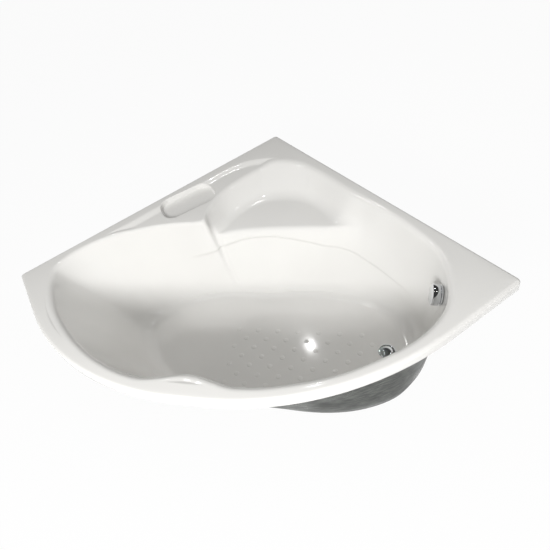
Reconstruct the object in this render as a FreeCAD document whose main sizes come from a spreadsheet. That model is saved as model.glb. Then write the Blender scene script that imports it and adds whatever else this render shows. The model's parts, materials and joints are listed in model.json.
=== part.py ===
"""Corner bathtub with a corner seat: acrylic shell, laminate backing, leg set and pop-up waste."""
import FreeCAD, Part
import Sketcher
import math
import os

from FreeCAD import Placement, Rotation, Vector

DOC = FreeCAD.newDocument("corner_bathtub")
SHEET = DOC.addObject("Spreadsheet::Sheet", "sizes")

# Driving sizes, in millimetres and degrees.
SIZES = {
    # rim, seen from above: two walls at a right angle, short returns and a bowed front
    "wall_length": 1500,
    "end_return": 308,
    "front_flat": 106,
    "corner_round": 18,
    "floor_height": 175,
    "lip_height": 42,
    "lip_round": 14,
    # sheet thicknesses
    "acrylic": 5,
    "laminate": 4,
    "bond_gap": 0.3,
    # hollow
    "bowl_depth": 425,
    "seat_depth": 100,
    "ledge_depth": 12,
    "rim_blend": 22,
    "seat_blend": 42,
    "seat_edge_blend": 24,
    "floor_blend": 80,
    "rim_land": 32,
    # soap tray
    "tray_length": 280,
    "tray_width": 160,
    "tray_corner": 62,
    "tray_depth": 16,
    "tray_angle": 39,
    # base board and legs
    "board_thick": 18,
    "board_length": 820,
    "board_width": 400,
    "board_corner": 120,
    "rail_length": 470,
    "rail_width": 40,
    "rail_height": 25,
    "rail_wall": 2,
    "stud_dia": 12,
    "foot_dia": 60,
    "foot_height": 24,
    "nut_across": 19,
    "nut_height": 10,
    # waste and overflow
    "drain_setback": 122,
    "flange_dia": 72,
    "drain_hole": 52,
    "plug_dia": 46,
    "plug_travel": 9,
    "overflow_drop": 87,
    "overflow_hole": 54,
    "knob_dia": 80,
    "knob_depth": 27,
    "plate_depth": 7,
    "plate_dia": 76,
    "seal_thick": 2,
    "stem_dia": 6,
    "cup_dia": 64,
    "trap_pipe": 40,
    "trap_wall": 2.5,
    "trap_bend": 32,
    "overflow_pipe_dia": 26,
    "overflow_pipe_bend": 45,
    "cable_dia": 5,
    # stiffeners
    "batten_length": 1000,
    "batten_width": 18,
    "batten_height": 38,
    "seat_board_length": 220,
    "seat_board_width": 100,
    # room left between curved faces that don't grip each other
    "fit_gap": 0.3,
}

for row, (alias, value) in enumerate(SIZES.items(), start=1):
    SHEET.set(f"A{row}", alias)
    SHEET.set(f"B{row}", str(value))
    SHEET.setAlias(f"B{row}", alias)
DOC.recompute()


def size(alias):
    """Read one size from the sheet."""
    return float(getattr(SHEET, alias))


# ---------------------------------------------------------------------------
# Rim outline. Plan coordinates: X along the long side, Y towards the corner of
# the room, with the origin midway between the two end corners of the rim.
# ---------------------------------------------------------------------------
ROOT_TWO = math.sqrt(2)
ROOT_THREE = math.sqrt(3)
HALF_DIAGONAL = size("wall_length") / ROOT_TWO
RETURN_STEP = size("end_return") / ROOT_TWO
FLOOR_TOP = size("floor_height")
RIM_TOP = FLOOR_TOP + size("bowl_depth")
ARC_CENTRE_X = size("front_flat") / 2
ARC_RADIUS = (HALF_DIAGONAL - RETURN_STEP - ARC_CENTRE_X) * ROOT_TWO
ARC_CENTRE_Y = ARC_RADIUS / ROOT_TWO - RETURN_STEP
FRONT_Y = ARC_CENTRE_Y - ARC_RADIUS
CORNER_TRIM = size("corner_round") * (ROOT_TWO - 1)
PLAN_MIDDLE = (HALF_DIAGONAL - CORNER_TRIM + FRONT_Y) / 2
# The outlines of the hollow below are drawn for this wall length and follow it.
DRAWN_WALL = 1500.0
STRETCH = size("wall_length") / DRAWN_WALL


def place(x, y, z):
    """Turn plan coordinates into the part's frame, whose origin is the middle of its base."""
    return Vector(x, y - PLAN_MIDDLE, z)


def rim_wire(inset, z):
    """Closed outline of the rim, drawn inwards by inset, with rounded corners."""
    d = HALF_DIAGONAL
    end = Vector(d - RETURN_STEP, -RETURN_STEP, 0)
    mid_angle = math.radians(-67.5)
    arc_mid = Vector(ARC_CENTRE_X + ARC_RADIUS * math.cos(mid_angle),
                     ARC_CENTRE_Y + ARC_RADIUS * math.sin(mid_angle), 0)
    front = Vector(ARC_CENTRE_X, FRONT_Y, 0)
    mirror = [Vector(-p.x, p.y, 0) for p in (end, arc_mid, front)]
    corners = [Vector(d, 0, 0), Vector(0, d, 0), Vector(-d, 0, 0)]
    edges = [Part.LineSegment(corners[0], corners[1]).toShape(),
             Part.LineSegment(corners[1], corners[2]).toShape(),
             Part.LineSegment(corners[2], mirror[0]).toShape(),
             Part.Arc(mirror[0], mirror[1], mirror[2]).toShape(),
             Part.LineSegment(mirror[2], front).toShape(),
             Part.Arc(front, arc_mid, end).toShape(),
             Part.LineSegment(end, corners[0]).toShape()]
    wall = Part.Face(Part.Wire(edges)).extrude(Vector(0, 0, 1))
    upright = [e for e in wall.Edges
               if abs(e.BoundBox.ZLength - 1) < 1e-6
               and min((Vector(e.Vertexes[0].X, e.Vertexes[0].Y, 0) - c).Length for c in corners) < 1e-6]
    wall = wall.makeFillet(size("corner_round"), upright)
    base = [f for f in wall.Faces if f.normalAt(0, 0).z < -0.5][0].OuterWire
    if inset > 0:
        base = base.makeOffset2D(-inset)
    base.translate(place(0, 0, z))
    return base


# ---------------------------------------------------------------------------
# Hollow. Four closed outlines in plan, seen from HUB, give the meeting lines of
# rim, seat and floor with the walls; a profile through them is drawn in each
# direction, with its corners blended.
# ---------------------------------------------------------------------------
HUB = (60.0, 60.0)

# where the walls meet the rim (the seat alcove included)
MOUTH = ((830, 5), (808, 118), (709, 266), (561, 420), (411, 562), (262, 708), (190, 765), (118, 795),
         (30, 800), (-60, 738), (-125, 672), (-185, 585), (-215, 490), (-222, 420), (-217, 372),
         (-250, 352), (-310, 350), (-405, 345), (-508, 328), (-612, 296), (-700, 248), (-785, 190),
         (-855, 112), (-880, 45), (-866, -15), (-828, -85), (-760, -175), (-670, -258), (-550, -348),
         (-400, -427), (-250, -472), (-190, -478), (-125, -468), (-25, -447), (75, -466), (140, -481),
         (200, -480), (350, -452), (500, -400), (620, -332), (698, -278), (770, -203), (815, -125))
# front edge of the seat and, elsewhere, the bowl's wall at that depth
SEAT_FRONT = ((815, 0), (700, 240), (600, 325), (450, 375), (240, 397), (80, 401), (-60, 392),
              (-170, 365), (-260, 340), (-560, 280), (-790, 110), (-740, -110), (-400, -392), (0, -462),
              (480, -380), (790, -120))
# back edge of the seat
SEAT_BACK = ((830, 0), (700, 245), (600, 350), (500, 400), (403, 445), (340, 520), (242, 606),
             (109, 639), (-10, 618), (-90, 560), (-140, 480), (-168, 400), (-185, 365), (-270, 345),
             (-600, 280), (-800, 110), (-740, -110), (-400, -392), (0, -462), (480, -380), (790, -120))
# where the walls would meet the floor
FLOOR = ((745, -20), (720, 90), (640, 190), (540, 245), (388, 283), (134, 290), (-142, 280),
         (-330, 240), (-480, 160), (-560, 20), (-500, -90), (-365, -230), (-200, -305), (0, -330),
         (210, -335), (390, -338), (480, -325), (560, -300), (660, -240), (720, -150))
# outer edge of the sunken ledge beside the soap tray
LEDGE = ((810, 0), (560, 390), (265, 690), (130, 800), (60, 832), (-20, 836), (-110, 822), (-190, 778),
         (-302, 670), (-500, 472), (-640, 332), (-720, 262), (-880, 100), (-860, -60), (-500, -400),
         (0, -490), (500, -420), (800, -170))
SEAT_LEFT = (133.0, 126.0)      # directions between which the seat begins, on its left
SEAT_RIGHT = (32.0, 50.0)       # and fades out, on its right


def polar_spline(points):
    """Radius from HUB as a periodic cubic of the direction, through the outline's points."""
    table = sorted((math.atan2(y - HUB[1], x - HUB[0]) % (2 * math.pi), math.hypot(x - HUB[0], y - HUB[1]))
                   for x, y in points)
    count = len(table)
    angles = [a for a, r in table]
    radii = [r for a, r in table]

    def slope(i):
        """Tangent at a point: the derivative of the parabola through it and its neighbours."""
        before, after = (i - 1) % count, (i + 1) % count
        left = (angles[i] - angles[before]) % (2 * math.pi)
        right = (angles[after] - angles[i]) % (2 * math.pi)
        rise_left = (radii[i] - radii[before]) / left
        rise_right = (radii[after] - radii[i]) / right
        return (rise_left * right + rise_right * left) / (left + right)

    slopes = [slope(i) for i in range(count)]

    def radius(direction):
        direction %= 2 * math.pi
        i = max((k for k in range(count) if angles[k] <= direction), default=count - 1)
        j = (i + 1) % count
        span = (angles[j] - angles[i]) % (2 * math.pi)
        u = ((direction - angles[i]) % (2 * math.pi)) / span
        return STRETCH * ((2 * u ** 3 - 3 * u ** 2 + 1) * radii[i] + (u ** 3 - 2 * u ** 2 + u) * span * slopes[i]
                          + (3 * u ** 2 - 2 * u ** 3) * radii[j] + (u ** 3 - u ** 2) * span * slopes[j])

    return radius


mouth_radius = polar_spline(MOUTH)
seat_front_radius = polar_spline(SEAT_FRONT)
seat_back_radius = polar_spline(SEAT_BACK)
floor_radius = polar_spline(FLOOR)
ledge_radius = polar_spline(LEDGE)


def ease(start, end, value):
    """Smooth step from 0 at start to 1 at end."""
    u = min(max((value - start) / (end - start), 0.0), 1.0)
    return u * u * (3 - 2 * u)


def seat_share(direction):
    """1 where the profile crosses the seat, 0 where it runs straight down the wall."""
    degrees = math.degrees(direction) % 360
    return ease(*SEAT_LEFT, degrees) * ease(*SEAT_RIGHT, degrees)


def blend(before, corner, after, reach_in, reach_out, steps):
    """Parabolic corner blend that starts reach_in before the corner and ends reach_out past it."""
    def towards(target, reach):
        run = math.hypot(target[0] - corner[0], target[1] - corner[1])
        return tuple(c + (g - c) * reach / run for c, g in zip(corner, target))
    start, end = towards(before, reach_in), towards(after, reach_out)
    points = []
    for k in range(steps + 1):
        u = k / steps
        points.append(tuple((1 - u) ** 2 * p + 2 * u * (1 - u) * q + u * u * r
                            for p, q, r in zip(start, corner, end)))
    return points


# how many pieces each blend is drawn in, on the face that shows and on the hidden ones
FINE = dict(rim=4, seat=2, edge=3, wall=4, floor=4)
HIDDEN = dict(rim=2, seat=2, edge=2, wall=3, floor=3)


def profile(direction, steps):
    """Points (radius, depth) down the hollow in one direction, rim first."""
    mouth = mouth_radius(direction)
    foot = floor_radius(direction)
    depth, seat_depth = size("bowl_depth"), size("seat_depth")
    land = mouth + size("rim_land")
    ledge_at = ledge_radius(direction)
    ledge_share = ease(land - 4, land + 46, ledge_at)
    ledge_start = max(ledge_at, land)
    ledge_drop = size("ledge_depth") * ledge_share
    slope_run = 3 + 30 * ledge_share

    def wall(at_depth):
        """Point on the straight wall from the mouth to the floor."""
        return (mouth + (foot - mouth) * at_depth / depth, at_depth)

    share = seat_share(direction)
    high, low = seat_depth - size("seat_blend") * 0.55, seat_depth + size("seat_edge_blend") * 1.3
    upper, lower = wall(high), wall(low)
    upper = (upper[0] + (seat_back_radius(direction) - upper[0]) * share, high + (seat_depth - high) * share)
    lower = (lower[0] + (seat_front_radius(direction) - lower[0]) * share, low + (seat_depth - low) * share)
    flat = math.hypot(upper[0] - lower[0], upper[1] - lower[1])
    seat_reach = min(size("seat_blend"), flat * 0.55)
    edge_reach = min(size("seat_edge_blend"), flat * 0.4)

    crest = (ledge_start, 0.0)
    slope_foot = (ledge_start - slope_run, ledge_drop)
    lip = (mouth, ledge_drop)
    corner = (foot, depth)
    middle = (foot * 0.5, depth)
    points = [crest, slope_foot]
    points += blend(slope_foot, lip, upper, size("rim_blend"), size("rim_blend"), steps["rim"])
    points += blend(lip, upper, lower, size("seat_blend"), seat_reach, steps["seat"])
    points += blend(upper, lower, corner, edge_reach, size("seat_edge_blend"), steps["edge"])
    toe = blend(lower, corner, middle, size("floor_blend"), size("floor_blend"), steps["floor"])
    wall_top = points[-1]
    for k in range(1, steps["wall"]):
        points.append(tuple(p + (q - p) * k / steps["wall"] for p, q in zip(wall_top, toe[0])))
    points += toe
    return points


COLUMNS = 44            # directions round the hub
COLUMN_TURN = 120.0     # millimetres of run that one radian of turn is worth when they are shared out
FIRST_DIRECTION = 1.4 * math.pi
SECTORS = 4             # edges that each ring is divided into


def turn_at(before, point, after):
    """Angle between the line into a point and the line out of it."""
    into = math.atan2(point[1] - before[1], point[0] - before[0])
    out = math.atan2(after[1] - point[1], after[0] - point[0])
    return abs((out - into + math.pi) % (2 * math.pi) - math.pi)


def share_out(points, count, turn_worth):
    """A line's points at count places, closer together where it turns."""
    weights = [0.0]
    for k in range(1, len(points)):
        run = math.hypot(points[k][0] - points[k - 1][0], points[k][1] - points[k - 1][1])
        turn = turn_at(points[k - 2], points[k - 1], points[k]) if k > 1 else 0.0
        weights.append(weights[-1] + run + turn_worth * turn)
    places = [points[0]]
    k = 0
    for place_index in range(1, count - 1):
        goal = weights[-1] * place_index / (count - 1)
        while weights[k + 1] < goal:
            k += 1
        u = (goal - weights[k]) / (weights[k + 1] - weights[k])
        places.append(tuple(p + (q - p) * u for p, q in zip(points[k], points[k + 1])))
    return places + [points[-1]]


def column_directions():
    """Directions from the hub, closer together where the mouth turns."""
    mouth = []
    for k in range(721):
        direction = FIRST_DIRECTION + 2 * math.pi * k / 720
        radius = mouth_radius(direction)
        mouth.append((radius * math.cos(direction), radius * math.sin(direction)))
    return [math.atan2(y, x) % (2 * math.pi) for x, y in share_out(mouth, COLUMNS + 1, COLUMN_TURN)[:-1]]


DIRECTIONS = column_directions()


def ring_parameters():
    """Parameter of each direction along every ring: the share of the floor and mouth runs up to it."""
    stations = []
    for direction in DIRECTIONS + DIRECTIONS[:1]:
        radius = (mouth_radius(direction) + floor_radius(direction)) / 2
        stations.append(Vector(radius * math.cos(direction), radius * math.sin(direction), 0))
    runs = [0.0]
    for before, after in zip(stations, stations[1:]):
        runs.append(runs[-1] + (after - before).Length)
    return [run / runs[-1] for run in runs]


PARAMETERS = ring_parameters()


def surface_point(direction, r, z):
    """A point of the hollow, from its place in the profile of one direction."""
    return place(HUB[0] * STRETCH + r * math.cos(direction), HUB[1] * STRETCH + r * math.sin(direction),
                 RIM_TOP - z)


SIDE_STEP = 0.02        # radians to either side of a direction, to find the way the surface runs there


def hollow_column(direction, steps, distance):
    """Points down the hollow in one direction, moved out from its surface by a distance."""
    line, before, after = ([surface_point(a, r, z) for r, z in profile(a, steps)]
                           for a in (direction, direction - SIDE_STEP, direction + SIDE_STEP))
    column = []
    for j, point in enumerate(line):
        normal = Vector(0, 0, -1)
        if 1 < j < len(line) - 1:
            normal = (after[j] - before[j]).cross(line[j + 1] - line[j - 1])
            normal.normalize()
            if normal.z > 0:
                normal = -normal
        column.append(point + normal * distance)
    return column


def turn_rates():
    """Change of direction per unit of ring parameter at every station."""
    rates = []
    for i in range(COLUMNS):
        run_before = (PARAMETERS[i] - PARAMETERS[(i - 1) % COLUMNS]) % 1.0
        run_after = PARAMETERS[i + 1] - PARAMETERS[i]
        turn_before = (DIRECTIONS[i] - DIRECTIONS[i - 1]) % (2 * math.pi)
        turn_after = (DIRECTIONS[(i + 1) % COLUMNS] - DIRECTIONS[i]) % (2 * math.pi)
        rates.append((turn_before / run_before * run_after + turn_after / run_after * run_before)
                     / (run_before + run_after))
    return rates


TURN_RATES = turn_rates()


def hollow_grid(steps, distance):
    """Columns of (point, tangent round the hollow) for every direction."""
    grid = []
    for direction, rate in zip(DIRECTIONS, TURN_RATES):
        line, before, after = (hollow_column(a, steps, distance)
                               for a in (direction, direction - SIDE_STEP, direction + SIDE_STEP))
        grid.append([(point, (q - p) * (rate / (2 * SIDE_STEP))) for point, p, q in zip(line, before, after)])
    return grid


def ring(grid, row):
    """Smooth closed curve through one row of a grid, as one edge per sector."""
    points, tangents = zip(*(column[row] for column in grid))
    curve = Part.BSplineCurve()
    curve.interpolate(Points=list(points) + [points[0]], Parameters=PARAMETERS, Scale=False,
                      Tangents=list(tangents) + [tangents[0]], TangentFlags=[True] * (COLUMNS + 1))
    stations = [PARAMETERS[round(k * COLUMNS / SECTORS)] for k in range(SECTORS + 1)]
    return [curve.toShape(start, end) for start, end in zip(stations, stations[1:])]


def skin(distance, steps):
    """Rings and ruled bands of the hollow's surface, moved out by a distance."""
    grid = hollow_grid(steps, distance)
    rings = [ring(grid, row) for row in range(len(grid[0]))]
    bands = [Part.makeRuledSurface(upper, lower)
             for above, below in zip(rings, rings[1:])
             for upper, lower in zip(above, below)]
    return rings, bands


def close_solid(faces):
    """Sew faces into one solid with its faces outward."""
    shell = Part.Shell(faces)
    shell.sewShape()
    solid = Part.Solid(shell)
    if solid.Volume < 0:
        solid.reverse()
    return solid


def flat_face(outer_wire, hole):
    """Flat face between an outline and a ring."""
    return Part.Face([outer_wire, Part.Wire(hole)], "Part::FaceMakerBullseye")


def hollow_sheet(top_offset, thickness, top_steps, top_wire, under_wire, edge_faces):
    """Solid sheet that follows the hollow: two skins, floor discs, a flat rim and its edge."""
    faces = list(edge_faces)
    for distance, steps, wire in ((top_offset, top_steps, top_wire),
                                  (top_offset + thickness, HIDDEN, under_wire)):
        rings, bands = skin(distance, steps)
        faces += bands
        faces.append(flat_face(wire, rings[0]))
        faces.append(Part.Face(Part.Wire(rings[-1])))
    return close_solid(faces)


def rim_block(inset, drop, height, edge_round):
    """Block under the rim's outline with its top edge rounded over."""
    block = Part.Face(rim_wire(inset, RIM_TOP - drop)).extrude(Vector(0, 0, -height))
    top = [f for f in block.Faces if f.BoundBox.ZLength < 1e-6
           and abs(f.BoundBox.ZMin - RIM_TOP + drop) < 1e-6][0]
    return block.makeFillet(edge_round, top.Edges)


def split_block(block):
    """A block's top wire, bottom wire and the faces between them."""
    level = [f for f in block.Faces if f.BoundBox.ZLength < 1e-6]
    level.sort(key=lambda f: f.BoundBox.ZMin)
    sides = [f for f in block.Faces if f.BoundBox.ZLength >= 1e-6]
    return level[-1].OuterWire, level[0].OuterWire, sides


def make_shell_sheet():
    """Acrylic sheet: lip, rim and hollow in one piece."""
    acrylic = size("acrylic")
    top_wire, lip_out, outside = split_block(rim_block(0, 0, size("lip_height"), size("lip_round")))
    under_wire, lip_in, inside = split_block(
        rim_block(acrylic, acrylic, size("lip_height") - acrylic, size("lip_round") - acrylic))
    lip_face = Part.Face([lip_out, lip_in], "Part::FaceMakerBullseye")
    return hollow_sheet(0, acrylic, FINE, top_wire, under_wire, outside + inside + [lip_face])


BACKING_FIRST_ROW = 9   # row of the hidden grid where the backing starts, below the seat


def make_laminate_sheet():
    """Glass-fibre backing bonded round the lower walls and the floor."""
    faces = []
    tops = []
    for distance in (size("acrylic") + size("bond_gap"), size("acrylic") + size("bond_gap") + size("laminate")):
        rings, bands = skin(distance, HIDDEN)
        faces += bands[BACKING_FIRST_ROW * SECTORS:]
        faces.append(Part.Face(Part.Wire(rings[-1])))
        tops.append(rings[BACKING_FIRST_ROW])
    faces += [Part.makeRuledSurface(inner, outer) for inner, outer in zip(*tops)]
    return close_solid(faces)


# ---------------------------------------------------------------------------
# Places that several pieces share
# ---------------------------------------------------------------------------
SHELL_UNDER = FLOOR_TOP - size("acrylic")
LAMINATE_UNDER = SHELL_UNDER - size("bond_gap") - size("laminate")
BOARD_TOP = LAMINATE_UNDER - size("bond_gap")
RAIL_TOP = BOARD_TOP - size("board_thick") - size("bond_gap")
WEB_UNDER = RAIL_TOP - size("rail_wall")

DRAIN = (HUB[0] * STRETCH + floor_radius(0) - size("drain_setback"), -30 * STRETCH)
BOARD_CENTRE = (70 * STRETCH, -22 * STRETCH)
RAIL_PLACES = {"head": BOARD_CENTRE[0] - 250, "foot": BOARD_CENTRE[0] + 250}
RAIL_FRONT = BOARD_CENTRE[1] - 158
FOOT_INSET = 30
FOOT_ROWS = {"front": RAIL_FRONT + FOOT_INSET, "rear": RAIL_FRONT + size("rail_length") - FOOT_INSET}

OVERFLOW_DIRECTION = math.radians(-4.8)


def wall_frame(direction, depth):
    """Point on the hollow's wall at a depth, and the way the wall faces there."""
    share = depth / size("bowl_depth")

    def wall_point(a, at_share):
        r = mouth_radius(a) + (floor_radius(a) - mouth_radius(a)) * at_share
        return surface_point(a, r, at_share * size("bowl_depth"))
    point = wall_point(direction, share)
    across = wall_point(direction + 0.05, share) - wall_point(direction - 0.05, share)
    down = wall_point(direction, share + 0.05) - wall_point(direction, share - 0.05)
    normal = across.cross(down)
    normal.normalize()
    inward = place(HUB[0], HUB[1], 0) - place(point.x, point.y + PLAN_MIDDLE, 0)
    return point, normal if normal.dot(inward) > 0 else -normal


OVERFLOW_POINT, OVERFLOW_AXIS = wall_frame(OVERFLOW_DIRECTION, size("overflow_drop"))
OVERFLOW_TURN = Rotation(Vector(0, 0, 1), OVERFLOW_AXIS)
PLATE_BACK = size("seal_thick") + 2.4
PLATE_FRONT = PLATE_BACK + size("plate_depth")
KNOB_BACK = PLATE_FRONT + 1


# ---------------------------------------------------------------------------
# Building helpers
# ---------------------------------------------------------------------------
PARTS = []


class Driven(float):
    """A number read from the sheet that remembers the expression it came from."""

    def __new__(cls, alias, factor=1.0, plus=0.0):
        number = super().__new__(cls, size(alias) * factor + plus)
        number.expression = f"sizes.{alias} * {factor} + {plus}"
        return number


def half(alias, plus=0.0):
    """Half of a diameter or width on the sheet, with an allowance."""
    return Driven(alias, 0.5, plus)


def keep(obj, label):
    """Give a finished sub-part its name and list it."""
    obj.Label = label
    PARTS.append(obj)
    return obj


def free_shape(label, shape, placement=None):
    """Sub-part whose shape comes from Part's own functions."""
    obj = DOC.addObject("Part::Feature", label)
    obj.Shape = shape
    if placement is not None:
        obj.Placement = placement
    return keep(obj, label)


def sketch_on(body, role, name):
    """New sketch on one of a body's origin planes."""
    plane = next(p for p in body.Origin.OriginFeatures if p.Role == role)
    sketch = body.newObject("Sketcher::SketchObject", name)
    sketch.AttachmentSupport = [(plane, "")]
    sketch.MapMode = "FlatFace"
    return sketch


def hold(sketch, kind, geometry, vertex, value):
    """Fix one coordinate of a sketch point, from the sheet if the value was read there."""
    if abs(value) < 1e-9:
        axis = -2 if kind == "DistanceX" else -1
        sketch.addConstraint(Sketcher.Constraint("PointOnObject", geometry, vertex, axis))
        return
    index = sketch.addConstraint(Sketcher.Constraint(kind, -1, 1, geometry, vertex, float(value)))
    if isinstance(value, Driven):
        sketch.setExpression(f"Constraints[{index}]", value.expression)


def outline_sketch(body, role, name, points):
    """Closed sketch of straight lines, held point by point."""
    sketch = sketch_on(body, role, name)
    count = len(points)
    for k in range(count):
        (x0, y0), (x1, y1) = points[k], points[(k + 1) % count]
        sketch.addGeometry(Part.LineSegment(Vector(x0, y0, 0), Vector(x1, y1, 0)), False)
    for k, (x, y) in enumerate(points):
        sketch.addConstraint(Sketcher.Constraint("Coincident", k, 2, (k + 1) % count, 1))
        hold(sketch, "DistanceX", k, 1, x)
        hold(sketch, "DistanceY", k, 1, y)
    return sketch


def circles_sketch(body, role, name, centres, radius):
    """Sketch of equal circles at given centres."""
    sketch = sketch_on(body, role, name)
    for k, (x, y) in enumerate(centres):
        sketch.addGeometry(Part.Circle(Vector(x, y, 0), Vector(0, 0, 1), float(radius)), False)
        hold(sketch, "DistanceX", k, 3, x)
        hold(sketch, "DistanceY", k, 3, y)
        index = sketch.addConstraint(Sketcher.Constraint("Radius", k, float(radius)))
        if isinstance(radius, Driven):
            sketch.setExpression(f"Constraints[{index}]", radius.expression)
    return sketch


def turned_body(label, points, placement):
    """Body turned round the upright axis from a half section of (radius, height) points."""
    body = DOC.addObject("PartDesign::Body", label)
    turn = body.newObject("PartDesign::Revolution", label + "_turn")
    turn.Profile = outline_sketch(body, "XZ_Plane", label + "_section", points)
    turn.ReferenceAxis = (turn.Profile[0], ["V_Axis"])
    turn.Angle = 360
    body.Placement = placement
    return keep(body, label)


def padded_body(label, points, role, length_alias, placement, midplane=False):
    """Body of one pad whose length comes from the sheet."""
    body = DOC.addObject("PartDesign::Body", label)
    pad = body.newObject("PartDesign::Pad", label + "_pad")
    pad.Profile = outline_sketch(body, role, label + "_outline", points)
    pad.Midplane = midplane
    pad.setExpression("Length", f"sizes.{length_alias}")
    body.Placement = placement
    return keep(body, label)


def drill(body, name, centres, radius, depth, reverse):
    """Equal holes from the body's XY plane, checked to have taken material away."""
    DOC.recompute()
    before = body.Shape.Volume
    pocket = body.newObject("PartDesign::Pocket", name)
    pocket.Profile = circles_sketch(body, "XY_Plane", name + "_centres", centres, radius)
    pocket.Length = depth
    pocket.Reversed = reverse
    DOC.recompute()
    taken = before - body.Shape.Volume
    if taken < 0.5 * len(centres):
        raise ValueError(f"{name} took away {taken:.2f} cubic millimetres")
    return pocket


def box(label, length_alias, width_alias, height_alias, placement):
    """Block whose three sizes come from the sheet."""
    block = DOC.addObject("Part::Box", label)
    block.setExpression("Length", f"sizes.{length_alias}")
    block.setExpression("Width", f"sizes.{width_alias}")
    block.setExpression("Height", f"sizes.{height_alias}")
    block.Placement = placement
    return keep(block, label)


def upright(x, y, z=0.0):
    """Placement at a plan point and height."""
    return Placement(place(x, y, z), Rotation())


def unit(vector):
    """Copy of a vector with length 1."""
    return vector * (1 / vector.Length)


def tube_path(points, radius):
    """Straight runs through points, joined by tangent arcs of one radius."""
    edges = []
    start = points[0]
    for before, corner, after in zip(points, points[1:], points[2:]):
        into, out = unit(corner - before), unit(after - corner)
        reach = radius * math.tan(into.getAngle(out) / 2)
        first, last = corner - into * reach, corner + out * reach
        towards_centre = unit(out - into)
        centre = corner + towards_centre * math.hypot(reach, radius)
        if (first - start).Length > 1e-6:
            edges.append(Part.LineSegment(start, first).toShape())
        edges.append(Part.Arc(first, centre - towards_centre * radius, last).toShape())
        start = last
    edges.append(Part.LineSegment(start, points[-1]).toShape())
    print(f"  path of {sum(e.Length for e in edges):.0f} mm with bends of radius {radius:.0f}")
    return Part.Wire(edges)


def tube(points, bend, outer_radius, bore_radius):
    """Round tube along a path, with its bore if it has one, checked against its length."""
    path = tube_path(points, bend)

    def rod(radius):
        section = Part.Wire([Part.makeCircle(radius, points[0], points[1] - points[0])])
        return path.makePipeShell([section], True, True)
    solid = rod(outer_radius)
    if bore_radius > 0:
        solid = solid.cut(rod(bore_radius))
    expected = math.pi * (outer_radius ** 2 - bore_radius ** 2) * path.Length
    if abs(solid.Volume - expected) > 0.02 * expected:
        raise ValueError(f"tube volume {solid.Volume:.0f}, expected {expected:.0f}")
    return solid


def washer(radius, bore, bottom, top):
    """Half section of a flat ring."""
    return [(bore, bottom), (radius, bottom), (radius, top), (bore, top)]


# ---------------------------------------------------------------------------
# Shell and backing
# ---------------------------------------------------------------------------
TRAY_CENTRE = (-358 * STRETCH, 522 * STRETCH)


def tray_block(grow, top, bottom):
    """Upright block with the soap tray's outline, grown all round."""
    length, width = size("tray_length") + 2 * grow, size("tray_width") + 2 * grow
    block = Part.makeBox(length, width, top - bottom, Vector(-length / 2, -width / 2, bottom))
    uprights = [e for e in block.Edges if abs(e.BoundBox.ZLength - (top - bottom)) < 1e-6]
    block = block.makeFillet(size("tray_corner") + grow, uprights)
    turn = Placement(place(*TRAY_CENTRE, 0), Rotation(Vector(0, 0, 1), size("tray_angle")))
    block.Placement = turn.multiply(block.Placement)
    return block


def tray_roof():
    """Room under the middle of the rim sheet: level, then sloping down to the ledge."""
    rim, half = RIM_TOP, size("acrylic") / 2
    edge_gap = 66 * STRETCH
    ledge_top = rim - size("ledge_depth") - half
    section = [(20, rim - 80), (20, rim - half), (edge_gap, rim - half), (edge_gap + 34, ledge_top),
               (320, ledge_top), (320, rim - 80)]
    along, inward = Vector(1, 1, 0) / ROOT_TWO, Vector(1, -1, 0) / ROOT_TWO
    corner = place(-HALF_DIAGONAL, 0, 0)
    points = [corner + inward * d + Vector(0, 0, z) for d, z in section]
    face = Part.Face(Part.makePolygon(points + points[:1]))
    return face.extrude(along * size("wall_length"))


def make_bath_shell():
    sheet = make_shell_sheet()
    rim = RIM_TOP
    tray_floor = rim - size("ledge_depth") - size("tray_depth")
    pan = tray_block(size("acrylic"), rim, tray_floor - size("acrylic")).common(tray_roof())
    sheet = sheet.fuse(pan).cut(tray_block(0, rim + 20, tray_floor))
    drain = Part.makeCylinder(size("drain_hole") / 2, 40, place(*DRAIN, FLOOR_TOP - 20))
    overflow = Part.makeCylinder(size("overflow_hole") / 2, 80, OVERFLOW_POINT - OVERFLOW_AXIS * 40, OVERFLOW_AXIS)
    return sheet.cut([drain, overflow])


def make_backing():
    opening = Part.makeCylinder(size("cup_dia") / 2 + 10, 60, place(*DRAIN, FLOOR_TOP - 40))
    return make_laminate_sheet().cut(opening)


free_shape("bath_shell", make_bath_shell())
free_shape("fibreglass_backing", make_backing())


# ---------------------------------------------------------------------------
# Base board, stiffeners, leg rails and feet
# ---------------------------------------------------------------------------
SCREW_REACH = 100       # screws to either side of a rail's middle
SCREW_DEPTH = 14
SCREW_RADIUS = 2.2
STUD_TOP = RAIL_TOP - 0.7
STUD_FOOT = 8.4


def build_base_board():
    """Board under the floor, with its corners cut and pilot holes for the rail screws."""
    x, y, cut = half("board_length"), half("board_width"), size("board_corner") * 0.6
    outline = [(x, -y + cut), (x, y - cut), (x - cut, y), (cut - x, y), (-x, y - cut), (-x, cut - y),
               (cut - x, -y), (x - cut, -y)]
    centre = upright(*BOARD_CENTRE, BOARD_TOP - size("board_thick"))
    board = padded_body("base_board", outline, "XY_Plane", "board_thick", centre)
    centres = [(rail_x - BOARD_CENTRE[0], side * SCREW_REACH)
               for rail_x in RAIL_PLACES.values() for side in (-1, 1)]
    drill(board, "pilot_holes", centres, SCREW_RADIUS + 0.3, SCREW_DEPTH + 1, True)


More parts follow.
